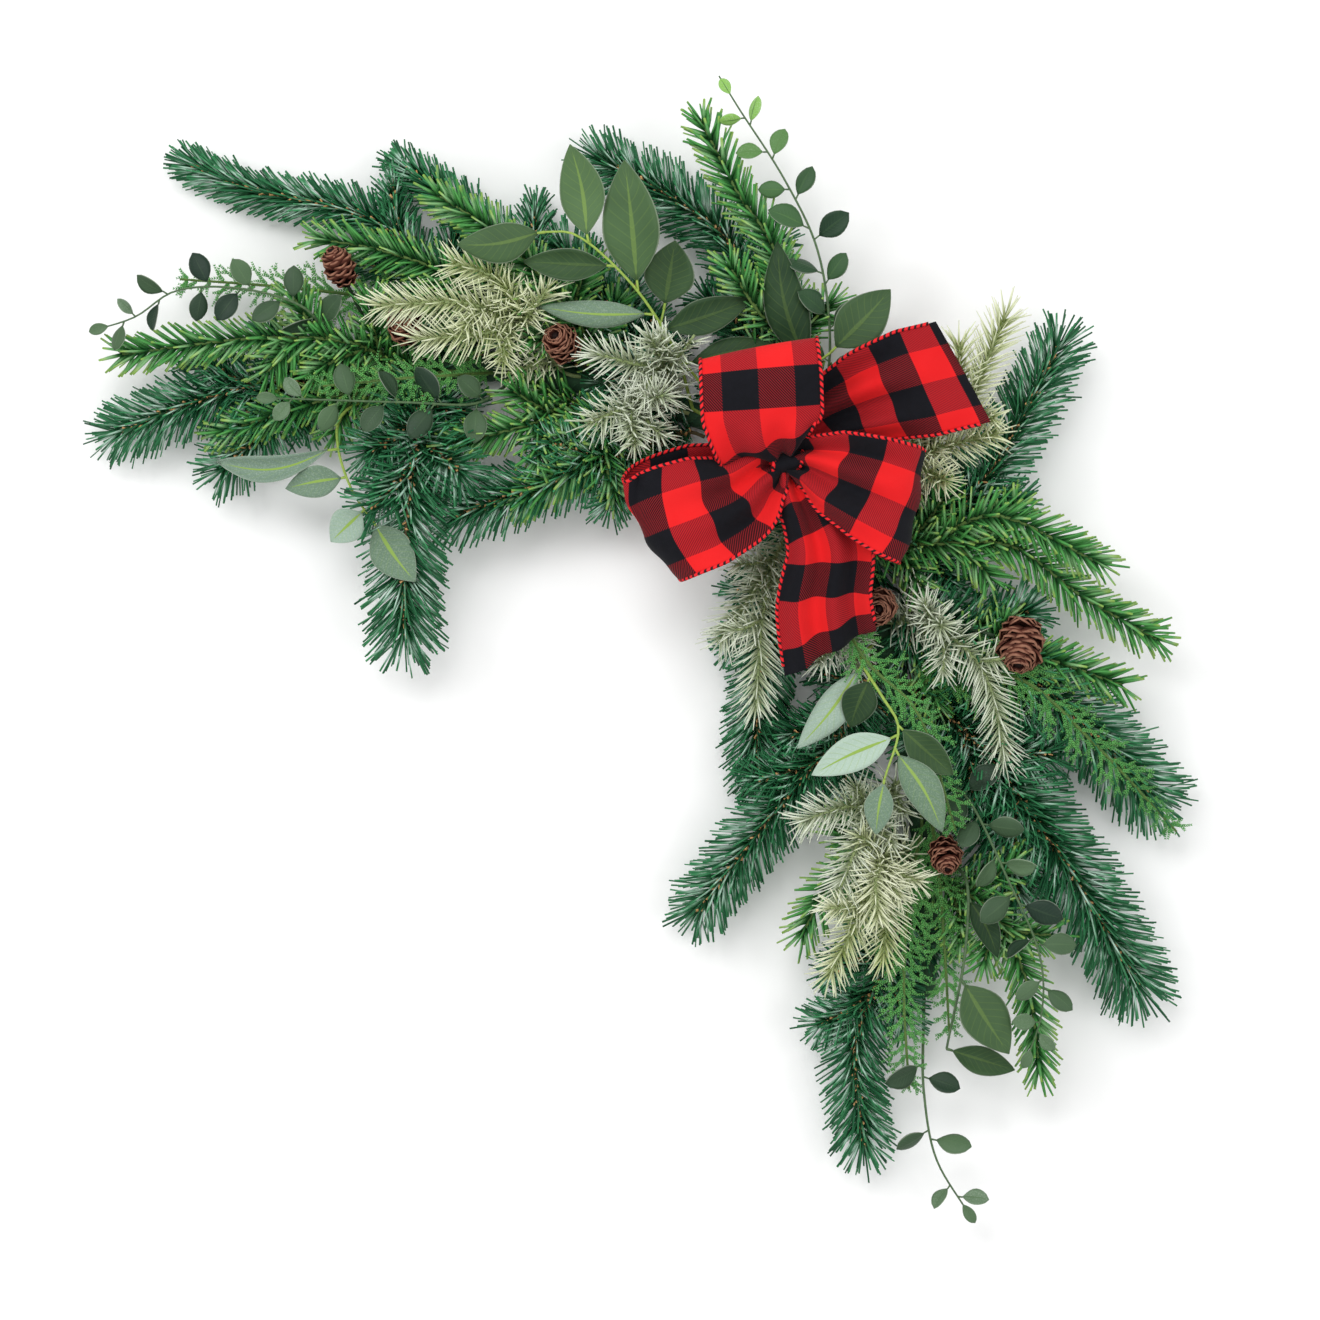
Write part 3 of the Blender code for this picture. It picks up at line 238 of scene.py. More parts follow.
EUCALYPTUS_SPRIGS = [
    [(-45, 11.2, 10), (-48.6, 16.2, 48), (-55, 18, 54), (-61.3, 17.7, 54), (-65.3, 15.2, 50),
     (-69.6, 13.9, 44)],
    [(-27.8, 9.2, 11), (-31.5, 6.6, 44), (-38, 6.6, 58), (-52.6, 7.1, 54)],
    [(2, 1.6, 12), (3.6, 8, 44), (3.9, 14, 58), (2.6, 22, 62), (-0.6, 28.8, 60), (-5.1, 36, 52),
     (-7.1, 39.4, 46)],
    [(13.9, -29.5, 9), (17.8, -33, 44), (21.4, -40.5, 60), (24.7, -48.5, 62), (24.9, -54, 58),
     (23.2, -59.6, 50)],
    [(13.7, -53.4, 8), (13.4, -58, 28), (13.4, -62, 36), (14.6, -68.8, 36), (18, -74.6, 30)],
]

# A large-leaf sprig's stem, then each leaf: share along the stem, tip on the plan, rise and width in mm,
# and how pale it is
LEAF_SPRIGS = [
    ([(-9.6, 6.2, 11), (-11.6, 12, 46), (-15.7, 18.2, 62), (-21.6, 23.2, 70), (-24.4, 23.4, 68)],
     [(0.84, -21.9, 32, 4, 25, 0.24), (0.6, -16.5, 30.5, 8, 32, 0.18), (1, -33.1, 22.2, -4, 22, 0.15),
      (0.72, -26.6, 20.6, -6, 18, 0.08), (0.5, -25, 16.2, -4, 15, 0.5)]),
    ([(-6.6, 5.2, 11), (-9.6, 9.6, 38), (-13, 13.2, 47), (-12.6, 16, 50)],
     [(0.86, -4, 17, -2, 20, 0.06), (0.6, -0.8, 12.3, -2, 16, 0.06), (1, -11.5, 22.8, 4, 28, 0.1)]),
    ([(-2, 2.8, 12), (-0.6, 7, 38), (1.4, 9.6, 50), (4, 11.6, 56)],
     [(0.8, -1.3, 22.6, 4, 24, 0.02), (1, 9.9, 17.8, 4, 27, 0.12)]),
    ([(-40, 8.9, 9), (-45, 5.4, 34), (-45.2, 2.4, 42), (-43.8, -2, 42), (-41.8, -5, 42)],
     [(0.62, -57.3, 0.8, 2, 15, 0.56), (0.76, -50.4, -1.9, 2, 18, 0.5), (0.94, -45.9, -7.2, 0, 20, 0.8),
      (1, -37.4, -11.2, 6, 24, 0.48)]),
    ([(8.8, -17.2, 10), (7, -19, 48), (9, -22.6, 66), (10.6, -25.6, 70), (9.2, -30.8, 72)],
     [(0.42, 0.7, -27.8, 2, 19, 0.8), (0.8, 2, -30.4, 0, 20, 1.0), (0.5, 5.9, -25.7, -2, 20, 0.04),
      (0.76, 16.1, -30.4, -6, 18, 0.1), (0.86, 14.9, -36, 4, 20, 0.46), (1, 8.4, -36.3, -3, 16, 0.5)]),
    ([(15.2, -38.6, 11), (17.6, -41, 42), (17.4, -48, 52), (15.6, -57.8, 46)],
     [(0.4, 20.6, -48.6, 10, 14, 0.0), (0.72, 21.7, -58.2, 4, 27, 0.14), (1, 22.5, -60, -6, 16, 0.1)]),
]

# A cone's stalk, its length and width in mm, and the way it is turned about its middle, if it is. A cone
# of the usual width has the usual number of scales
USUAL_CONE = 20 * MM
USUAL_SCALES = 58
CONES = [
    ([(9.4, -11.2, 8), (15.4, -14.8, 34), (20.4, -16.6, 46)], 32, 28, (-0.15, -0.8, 0.6)),
    ([(9, -13, 12), (8.9, -13.4, 30)], 26, 23),
    ([(14.9, -32.4, 11), (15.3, -37.2, 40)], 24, 20),
    ([(-37, 11.5, 11), (-38, 13.4, 32)], 25, 21),
    ([(-41, 11.3, 10), (-44.3, 18.6, 34)], 24, 20),
    ([(-20.4, 10, 11), (-22, 11.8, 34)], 25, 22),
]

# The bow: each strip's places outwards from the gathered middle, as plan place, height, width, bearing
BOW_MIDDLE = (-0.6, 0.6, 70)
BOW_STRIPS = [
    [(-1.3, 1, 76, 24, 12), (-2.5, 2.4, 90, 56, 13), (-2.9, 4.8, 96, 65, 13), (-3.1, 8.8, 98, 65, 12),
     (-3.3, 11.7, 88, 64, 11), (-3.2, 11.2, 76, 64, 11), (-2.7, 8.2, 67, 62, 12), (-1.9, 4, 64, 46, 14),
     (-0.9, 1, 68, 12, 14)],
    [(-0.2, 0.5, 71, 12, 76), (1.5, 0.4, 78, 28, 76), (3.8, -0.5, 86, 45, 76), (7.4, -2, 94, 56, 77),
     (10.4, -3.3, 92, 62, 79), (11.7, -3.9, 82, 62, 79), (10.9, -3.5, 71, 62, 79), (7, -1.8, 64, 52, 77),
     (3, -0.2, 64, 34, 76), (-0.1, 0.5, 69, 12, 76)],
    [(-1, 0.4, 71, 12, -62), (-3, -0.8, 76, 34, -69), (-5.2, -2.9, 83, 50, -67), (-8.4, -4.3, 92, 60, -65),
     (-11.6, -5.4, 92, 62, -62), (-13.2, -5.9, 82, 62, -62), (-12.4, -4.4, 71, 62, -62),
     (-8.2, -2.4, 64, 56, -64), (-4, -0.6, 64, 36, -66), (-1, 0.5, 69, 12, -62)],
    [(-0.3, 1, 70, 12, -60), (2.8, 4.8, 62, 34, -74), (7.6, 7, 66, 52, -66), (12.4, 8.4, 71, 62, -62),
     (17.1, 9.6, 66, 64, -60)],
    [(-0.2, 0.2, 69, 12, 8), (2.2, -4.2, 76, 36, 8), (3.7, -8.4, 77, 48, 4), (3.2, -13.4, 71, 53, 2),
     (3.9, -18.3, 62, 54, 22)],
]

# How far along the core and above it the CAD solid of a piece was set, in mm
SETTLED = {
    "leaf_sprig_2": (0, -3), "eucalyptus_sprig_3": (0, -6), "eucalyptus_sprig_4": (0, 3),
    "eucalyptus_sprig_5": (5, 0), "pine_spray_1": (-10, -9), "pine_spray_2": (-15, -9),
    "pine_spray_3": (15, 0), "pine_spray_4": (5, 15), "pine_spray_5": (-15, 12), "pine_spray_6": (0, -9),
    "pine_spray_7": (0, -6), "pine_spray_9": (0, -9), "pine_spray_13": (-10, 0), "spruce_spray_1": (5, 6),
    "spruce_spray_2": (-15, -9), "spruce_spray_4": (-10, -9), "frosted_pick_4": (0, -3),
    "frosted_pick_7": (-5, -9), "cedar_spray_1": (0, -9), "cedar_spray_3": (-15, 3),
    "cedar_spray_4": (0, -9), "cedar_spray_5": (-10, -9), "cedar_spray_6": (-10, -6),
}

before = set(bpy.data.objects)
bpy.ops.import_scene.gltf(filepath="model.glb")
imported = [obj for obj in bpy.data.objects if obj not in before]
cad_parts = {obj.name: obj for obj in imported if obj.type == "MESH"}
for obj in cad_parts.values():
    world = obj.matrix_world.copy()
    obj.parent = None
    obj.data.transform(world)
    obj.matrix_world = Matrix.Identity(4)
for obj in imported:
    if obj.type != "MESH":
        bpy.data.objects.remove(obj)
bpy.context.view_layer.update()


def put(name, data):
    """An object in the scene, from its mesh, lamp or camera."""
    made = bpy.data.objects.new(name, data)
    bpy.context.scene.collection.objects.link(made)
    return made


def place(x, y, z):
    """A point from its plan steps and its height in millimetres."""
    return Vector(((x - CORNER[0]) * PLAN, (y - CORNER[1]) * PLAN, z * MM))


def shader_colour(colour):
    """A colour as a picture shows it, 0 to 255, in the light that a shader counts in."""
    parts = [part / 255 for part in colour]
    return (*[part / 12.92 if part < 0.0404 else ((part + 0.055) / 1.055) ** 2.4 for part in parts], 1)


class Line:
    """A smooth curve through a few points, read by the distance along it."""

    FINE = 10

    def __init__(self, points):
        ends = [points[0] * 2 - points[1], *points, points[-1] * 2 - points[-2]]
        self.points = []
        for before, start, end, after in zip(ends, ends[1:], ends[2:], ends[3:]):
            for step in range(self.FINE):
                self.points.append(self.between(before, start, end, after, step / self.FINE))
        self.points.append(points[-1])
        self.marks = [0]
        for near, far in zip(self.points, self.points[1:]):
            self.marks.append(self.marks[-1] + (far - near).length)
        self.length = self.marks[-1]

    @staticmethod
    def between(before, start, end, after, share):
        """A point of the centripetal curve from start to end."""
        first = (start - before).length ** 0.5
        second = first + (end - start).length ** 0.5
        third = second + (after - end).length ** 0.5
        t = first + (second - first) * share
        one = before.lerp(start, t / first)
        two = start.lerp(end, (t - first) / (second - first))
        three = end.lerp(after, (t - second) / (third - second))
        low = one.lerp(two, t / second)
        high = two.lerp(three, (t - first) / (third - first))
        return low.lerp(high, (t - first) / (second - first))

    def at(self, distance):
        index = min(max(bisect.bisect_right(self.marks, distance), 1), len(self.marks) - 1)
        low, high = self.marks[index - 1], self.marks[index]
        return self.points[index - 1].lerp(self.points[index], (distance - low) / (high - low))

    def spread(self, count):
        """Distances from end to end, so many steps apart."""
        return [self.length * step / count for step in range(count + 1)]

    def nearest(self, spot, count):
        """The one of those distances that is nearest to a spot."""
        return min(self.spread(count), key=lambda distance: (self.at(distance) - spot).length)

    def toward(self, distance):
        reach = 2 * MM
        return (self.at(distance + reach) - self.at(distance - reach)).normalized()

    def axes(self, distance):
        """Ahead, level and upwards at a distance along the curve."""
        ahead = self.toward(distance)
        level = ahead.cross(UP)
        level = level.normalized() if level.length > 0.05 else Vector((1, 0, 0))
        return ahead, level, level.cross(ahead)


class Bed:
    """The core as a seat: where a stem is bound along it."""

    def __init__(self, node):
        mesh = node.data
        corners = [v.co.copy() for v in mesh.vertices]
        self.tree = BVHTree.FromPolygons(corners, [tuple(p.vertices) for p in mesh.polygons])
        self.line = Line([place(x, y, 0) for x, y in CORE_PATH])

    def beside(self, point):
        """The way the core runs beside a point."""
        best = self.line.nearest(Vector((point.x, point.y, 0)), 80)
        return self.line.toward(min(max(best, 3 * MM), self.line.length - 3 * MM))

    def seat(self, point, radius):
        spot, normal, _, _ = self.tree.find_nearest(point)
        return spot + normal * (radius + SEAT_GAP)

    def route(self, name, points, radius):
        """A path's line, with its root bound along the core and the rest lifted."""
        slide, lift = SETTLED.get(name, (0, 0))
        points = [place(*point) for point in points]
        along = self.beside(points[0])
        if along.dot(points[1] - points[0]) < 0:
            along = -along
        root = points[0] + along * slide * MM
        seats = [self.seat(root - along * SEAT_RUN, radius), self.seat(root, radius)]
        above = [point + UP * lift * MM for point in points[1:]]
        leave = seats[1] + (above[0] - seats[1]).normalized() * SEAT_RUN
        return Line([*seats, leave, *above])


bed = Bed(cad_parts["core_bundle"])


# Materials

def sign(operation, turned=False):
    """A method that adds one Math node to a value."""
    def method(self, other):
        pair = (other, self) if turned else (self, other)
        return self.finish.maths(operation, *pair)
    return method


class Number:
    """A value in a material's nodes, which the usual signs work on."""

    def __init__(self, finish, socket):
        self.finish = finish
        self.socket = socket

    __add__ = __radd__ = sign("ADD")
    __mul__ = __rmul__ = sign("MULTIPLY")
    __sub__ = sign("SUBTRACT")
    __rsub__ = sign("SUBTRACT", True)
    __truediv__ = sign("DIVIDE")

    def __abs__(self):
        return self.finish.maths("ABSOLUTE", self)

    def part(self):
        """What is left of a value past its whole turns."""
        return self.finish.maths("FRACT", self)

    def sine(self):
        return self.finish.maths("SINE", self)


class Finish:
    """A material, with the nodes that feed its shader."""

    def __init__(self, name, constants):
        self.material = bpy.data.materials.new(name)
        self.material.use_nodes = True
        self.tree = self.material.node_tree
        self.shader = self.tree.nodes["Principled BSDF"]
        for socket, value in constants.items():
            self.shader.inputs[socket].default_value = value

    def feed(self, socket, value):
        if isinstance(value, Number):
            value = value.socket
        if isinstance(value, bpy.types.NodeSocket):
            self.tree.links.new(value, socket)
        else:
            socket.default_value = value

    def node(self, kind, settings, inputs):
        """Any node: its settings come first, then what its sockets hold."""
        made = self.tree.nodes.new(kind)
        for name, value in settings.items():
            setattr(made, name, value)
        for name, value in inputs.items():
            self.feed(made.inputs[name], value)
        return made

    def maths(self, operation, first, second=0.0):
        made = self.node("ShaderNodeMath", {"operation": operation}, {0: first, 1: second})
        return Number(self, made.outputs[0])

    def limit(self, value):
        made = self.node("ShaderNodeClamp", {}, {"Value": value})
        return Number(self, made.outputs[0])

    def step(self, value, low, high):
        """0 below low and 1 above high, smooth between them."""
        settings = {"interpolation_type": "SMOOTHSTEP"}
        made = self.node("ShaderNodeMapRange", settings, {"Value": value, "From Min": low, "From Max": high})
        return Number(self, made.outputs[0])

    def read(self, *names):
        """The measures with these names, which each piece carries at its corners."""
        made = [self.node("ShaderNodeAttribute", {"attribute_name": name}, {}) for name in names]
        return [Number(self, one.outputs["Fac"]) for one in made]

    def spot(self):
        """The place on the swag."""
        return self.node("ShaderNodeTexCoord", {}, {}).outputs["Object"]

    def speckle(self, scale, detail):
        made = self.node("ShaderNodeTexNoise", {}, {"Vector": self.spot(), "Scale": scale, "Detail": detail})
        return Number(self, made.outputs["Fac"])

    def mix(self, share, first, second):
        """Two colours, each a socket, a picture's three parts from 0 to 255, or four parts of light."""
        pair = [shader_colour(c) if isinstance(c, tuple) and len(c) == 3 else c for c in (first, second)]
        made = self.node("ShaderNodeMix", {"data_type": "RGBA"}, {0: share, 6: pair[0], 7: pair[1]})
        return made.outputs[2]

    def painted_highlight(self, along, patch, full, middle):
        """Painted highlight: a mask along the middle of those needles where a patch is bright."""
        bright = self.step(patch, *full)
        low, near, far, high = middle
        return self.step(along, low, near) * self.step(along, high, far) * bright

    def colour(self, value):
        self.feed(self.shader.inputs["Base Color"], value)

    def rough(self, value):
        self.feed(self.shader.inputs["Roughness"], value)

    def bump(self, height, distance, strength):
        inputs = {"Height": height, "Distance": distance, "Strength": strength}
        made = self.node("ShaderNodeBump", {}, inputs)
        self.feed(self.shader.inputs["Normal"], made.outputs[0])


def film_needles(name, dark, light, highlight_colour):
    """Cut film: each needle has its own tone, and bright patches get a painted highlight along the middle."""
    finish = Finish(name, {"Specular IOR Level": 0.25})
    tone, along = finish.read("tone", "along")
    patch = finish.speckle(60, 1.0)
    shade = finish.limit(tone * 0.7 + patch * 0.6 - 0.15)
    body = finish.mix(shade, dark, light)
    # Painted highlight: needles in a bright patch are mixed towards the pale highlight colour along their
    # middle.
    painted_highlight = finish.painted_highlight(along, patch + tone * 0.5, (0.75, 0.99), (0.2, 0.4, 0.65, 0.9))
    finish.colour(finish.mix(painted_highlight * 0.8, body, highlight_colour))
    finish.rough(0.3 + tone * 0.2)
    return finish.material


def moulded_needles(name, root, middle, tip, highlight_colour):
    """Moulded plastic: colour runs from each needle's root to its tip, and some get a painted highlight."""
    finish = Finish(name, {"Specular IOR Level": 0.35})
    tone, along = finish.read("tone", "along")
    patch = finish.speckle(45, 2.0)
    lower = finish.mix(finish.step(along, 0.0, 0.45), root, middle)
    reach = finish.step(along + tone * 0.3 + patch * 0.35 - 0.3, 0.76, 1.0)
    body = finish.mix(reach, lower, tip)
    # Painted highlight: a pale streak is mixed into the needles of bright patches.
    painted_highlight = finish.painted_highlight(along, patch + tone * 0.5, (0.66, 0.98), (0.2, 0.45, 0.75, 0.98))
    finish.colour(finish.mix(painted_highlight * 0.3, body, highlight_colour))
    finish.rough(0.38 + patch * 0.25)
    return finish.material


def frosted_needles(name, dark, light, thin_flock, thick_flock):
    """Sage plastic under pale flock, thickest towards the tips and in patches."""
    finish = Finish(name, {"Specular IOR Level": 0.35})
    tone, along = finish.read("tone", "along")
    patch = finish.speckle(24, 1.0)
    grain = finish.speckle(1900, 1.0)
    heart = finish.mix(tone, dark, light)
    flock = finish.mix(patch, thin_flock, thick_flock)
    cover = finish.limit(along * 1.3 + patch * 1.4 + tone * 0.3 - 0.75)
    finish.colour(finish.mix(cover * (0.8 + grain * 0.3), heart, flock))
    finish.rough(0.62 + grain * 0.25)
    finish.bump(grain, 0.1 * MM, 0.6)
    return finish.material


def cedar_scales():
    finish = Finish("cedar_scales", {"Specular IOR Level": 0.45})
    tone, along = finish.read("tone", "along")
    patch = finish.speckle(40, 2.0)
    body = finish.mix(finish.limit(tone * 0.6 + patch * 0.8 - 0.2), (44, 120, 58), (104, 176, 88))
    finish.colour(finish.mix(finish.step(along, 0.5, 1.0) * 0.6, body, (160, 208, 118)))
    finish.rough(0.42 + patch * 0.2)
    return finish.material


def veined_leaf(name, dark, green, silver, pale, rib, gloss):
    """A pressed leaf: a pale midrib, side veins that run forward, and a dusty bloom on the palest."""
    finish = Finish(name, {"Specular IOR Level": 0.25})
    tone, along, across = finish.read("tone", "along", "across")
    side = abs(across)
    dust = finish.speckle(1300, 3.0)
    cloud = finish.speckle(55, 2.0)
    bloom = finish.limit(tone * 3 - 0.75)
    body = finish.mix(finish.limit(tone * 3.2 + cloud * 0.4 - 0.2), dark, green)
    body = finish.mix(bloom, body, finish.mix(finish.limit(tone * 1.8 - 0.8), silver, pale))
    body = finish.mix(finish.step(dust, 0.44, 0.72) * bloom * 0.24, body, (206, 218, 206))
    wave = ((along - side * 0.22) * 62).sine()
    vein = finish.step(wave, 0.8, 1.0) * finish.step(side, 0.97, 0.7)
    body = finish.mix(vein * (tone * 0.2 + 0.05), body, rib)
    broad = finish.step(along, 0.9, 0.0) * 0.07
    line = finish.step(side - broad, 0.065, 0.025) * finish.step(along, 0.97, 0.8)
    body = finish.mix(line * (finish.limit(tone * 2.2 - 0.2) * 0.9 + 0.1), body, rib)
    finish.colour(finish.mix(finish.step(side, 0.93, 1.0) * 0.3, body, (200, 210, 190)))
    finish.rough(gloss + dust * 0.25)
    finish.bump(vein * 0.6 + line + dust * 0.12, 0.25 * MM, 0.5)
    return finish.material


def bark(name, dark, light, coarse):
    """A stem: a coated wire or a twig, mottled in two tones."""
    finish = Finish(name, {"Specular IOR Level": 0.35})
    [tone] = finish.read("tone")
    grain = finish.speckle(coarse, 3.0)
    finish.colour(finish.mix(finish.limit(grain * 1.2 + tone * 0.3 - 0.3), dark, light))
    finish.rough(0.55 + grain * 0.25)
    finish.bump(grain, 0.2 * MM, 0.5)
    return finish.material


def cone_scales():
    """Dried scales: dark at the root, paler and worn along the outer edge."""
    finish = Finish("cone_scales", {"Specular IOR Level": 0.15})
    tone, along, across = finish.read("tone", "along", "across")
    grain = finish.speckle(420, 3.0)
    body = finish.mix(finish.limit(along * 0.9 + tone * 0.4 - 0.15), (26, 12, 10), (94, 50, 38))
    edge = finish.step(along + abs(across) * 0.12, 0.88, 1.02)
    body = finish.mix(edge * (0.2 + grain), body, (164, 118, 96))
    finish.colour(finish.mix(finish.step(grain, 0.62, 0.74) * 0.5, body, (60, 34, 26)))
    finish.rough(0.55 + grain * 0.3)
    finish.bump(grain, 0.3 * MM, 0.5)
    return finish.material


def checked_cloth():
    """Red and black bands both ways. The bands across lie on top, so the mixed fields are of two kinds."""
    sheen = {"Sheen Weight": 0.04, "Sheen Roughness": 0.5}
    finish = Finish("checked_cloth", {"Specular IOR Level": 0.12, **sheen})
    uv = finish.node("ShaderNodeUVMap", {"uv_map": "cloth"}, {}).outputs[0]
    parts = finish.node("ShaderNodeSeparateXYZ", {}, {"Vector": uv})
    across, along = Number(finish, parts.outputs[0]), Number(finish, parts.outputs[1])

    def red_bands(way):
        """1 in the red bands of a way of the cloth, 0 in the black ones."""
        return finish.step(abs((way / (2 * CHECK)).part() - 0.5), 0.245, 0.255)

    long_red = red_bands(along)
    cross_red = red_bands(across + CHECK_SHIFT)
    twill = ((across + along) / TWILL).part()
    warp_on_top = finish.step(abs(twill - 0.5), 0.24, 0.42)
    both = long_red * cross_red
    wear = finish.speckle(260, 2.0)
    cloud = finish.speckle(30, 1.0)
    red = finish.mix(cloud, (206, 20, 26), (232, 38, 38))
    black = finish.mix(wear, (8, 9, 14), (22, 22, 28))
    light_field = finish.mix(warp_on_top, (178, 29, 35), (94, 18, 26))
    dark_field = finish.mix(warp_on_top, (32, 14, 18), (148, 27, 34))
    mixed = finish.mix(long_red, dark_field, light_field)
    either = finish.maths("MAXIMUM", long_red, cross_red)
    finish.colour(finish.mix(either, black, finish.mix(both, mixed, red)))
    finish.rough(0.72 + wear * 0.2)
    turns = math.tau / THREAD
    weave = (across * turns).sine() * (along * turns).sine()
    finish.bump(weave * 0.5 + twill * 0.4, 0.12 * MM, 0.5)
    return finish.material


def whipped_cord():
    """The ribbon's edge: red thread wound over black."""
    finish = Finish("whipped_cord", {"Specular IOR Level": 0.3})
    along, across = finish.read("along", "across")
    turn = (along / STITCH + across * 0.25).part()
    red = finish.step(abs(turn - 0.5), 0.34, 0.26)
    finish.colour(finish.mix(red, (26, 8, 12), (226, 30, 38)))
    finish.rough(0.75)
    finish.bump(red, 0.3 * MM, 0.8)
    return finish.material


def tape():
    """Floral tape wound round the core, with a raised edge at each turn."""
    finish = Finish("tape", {"Specular IOR Level": 0.3})
    parts = finish.node("ShaderNodeSeparateXYZ", {}, {"Vector": finish.spot()})
    x, y = Number(finish, parts.outputs[0]), Number(finish, parts.outputs[1])
    turn = ((x * 0.8 - y) / TAPE_TURN).part()
    grain = finish.speckle(500, 3.0)
    finish.colour(finish.mix(finish.limit(turn * 0.5 + grain * 0.5), (20, 50, 32), (52, 92, 60)))
    finish.rough(0.6 + grain * 0.2)
    finish.bump(finish.step(turn, 0.9, 1.0) + grain * 0.3, 0.4 * MM, 0.6)
    return finish.material


RIBBON = 64 * MM
CHECK = 19.5 * MM
CHECK_SHIFT = 37.8 * MM
TWILL = 1.4 * MM
THREAD = 0.9 * MM
STITCH = 3.7 * MM

# The pine film's dark and light tones, then the colour of its painted highlight.
pine_film = film_needles("pine_film", (10, 68, 42), (72, 160, 102), (204, 234, 218))
pine_wire = bark("pine_wire", (52, 60, 40), (120, 96, 60), 700)
tan_stub = bark("tan_stub", (202, 146, 88), (240, 196, 138), 900)
# The spruce plastic's root, middle and tip colours, then the colour of its painted highlight.
spruce_plastic = moulded_needles(
    "spruce_plastic", (28, 86, 44), (74, 150, 72), (142, 182, 84), (190, 220, 176))
spruce_twig = bark("spruce_twig", (40, 84, 40), (110, 130, 60), 600)
frosted_white = frosted_needles(
    "frosted_white", (134, 154, 104), (182, 196, 144), (200, 212, 184), (242, 246, 232))
frosted_cream = frosted_needles(
    "frosted_cream", (142, 162, 88), (190, 202, 132), (214, 222, 178), (246, 248, 224))
frosted_twig = bark("frosted_twig", (112, 132, 84), (170, 184, 128), 600)
cedar_plastic = cedar_scales()
large_leaf = veined_leaf(
    "large_leaf", (24, 52, 26), (86, 116, 74), (98, 122, 106), (164, 186, 170), (138, 168, 74), 0.5)
small_leaf = veined_leaf(
    "small_leaf", (24, 46, 34), (78, 106, 72), (106, 130, 104), (132, 158, 118), (84, 112, 76), 0.38)
young_leaf = veined_leaf(
    "young_leaf", (20, 46, 32), (70, 108, 64), (110, 158, 76), (136, 186, 84), (84, 120, 66), 0.38)
leaf_twig = bark("leaf_twig", (112, 146, 56), (176, 198, 96), 500)
small_twig = bark("small_twig", (46, 72, 50), (100, 126, 84), 500)
cone_wood = cone_scales()
cone_twig = bark("cone_twig", (22, 44, 28), (50, 74, 44), 500)
cloth = checked_cloth()
cord_finish = whipped_cord()
core_tape = tape()
coated_wire = bark("coated_wire", (18, 48, 30), (44, 84, 54), 800)


# Small shapes, each made once and copied many times

Shape = namedtuple("Shape", "points triangles along across")


def mark(bm, measure):
    """Two measures at each corner, which its finish reads: along the shape, and across it."""
    along = bm.verts.layers.float.new("along")
    across = bm.verts.layers.float.new("across")
    for corner in bm.verts:
        corner[along], corner[across] = measure(corner.co)


def shape_of(bm):
    """The points and triangles of a marked mesh, with its two measures at each point."""
    bmesh.ops.triangulate(bm, faces=bm.faces)
    bmesh.ops.recalc_face_normals(bm, faces=bm.faces)
    bm.verts.index_update()
    along = bm.verts.layers.float["along"]
    across = bm.verts.layers.float["across"]
    points = np.array([v.co[:] for v in bm.verts])
    triangles = np.array([[v.index for v in f.verts] for f in bm.faces])
    measures = np.array([(v[along], v[across]) for v in bm.verts])
    bm.free()
    return Shape(points, triangles, measures[:, 0], measures[:, 1])


def needle_shape(sides, cuts, tip, bend):
    """A needle of unit length along Z, a unit wide, bent towards Y by so many of its thickness."""
    bm = bmesh.new()
    bmesh.ops.create_cone(bm, cap_ends=True, segments=sides, radius1=0.42, radius2=0.5 * tip, depth=1)
    bmesh.ops.translate(bm, verts=bm.verts, vec=(0, 0, 0.5))
    for cut in range(1, cuts):
        whole = [*bm.verts, *bm.edges, *bm.faces]
        bmesh.ops.bisect_plane(bm, geom=whole, plane_co=(0, 0, cut / cuts), plane_no=(0, 0, 1))
    for corner in bm.verts:
        share = corner.co.z
        swell = 1 + 0.2 * math.sin(math.pi * share)
        corner.co.x *= swell
        corner.co.y = corner.co.y * swell + bend * share * share
    mark(bm, lambda spot: (spot.z, spot.x * 2))
    return shape_of(bm)


def blade_shape(rows, columns, outline, cup, arch, thick, sway=0.0):
    """A leaf of unit length along Z and unit half-width along X, cupped and arched towards Y."""
    bm = bmesh.new()
    bmesh.ops.create_grid(bm, x_segments=columns, y_segments=rows, size=1)
    mark(bm, lambda spot: ((spot.y + 1) / 2, spot.x))
    for corner in bm.verts:
        share = (corner.co.y + 1) / 2
        side = corner.co.x
        half = outline(share)
        lift = cup * side * side * half + arch * math.sin(math.pi * share)
        corner.co = Vector((side * half + sway * math.sin(math.pi * share), lift, share))
    bm.normal_update()
    bmesh.ops.solidify(bm, geom=bm.faces[:], thickness=thick)
    return shape_of(bm)


def pointed_outline(fullest, sharp):
    """A leaf's half-width along its length, fullest at a share and drawn out to a point."""
    def outline(share):
        if share < fullest:
            return max(math.sin(math.pi / 2 * share / fullest) ** 0.8, 0.06)
        return max(math.cos(math.pi / 2 * (share - fullest) / (1 - fullest)) ** sharp, 0.02)
    return outline


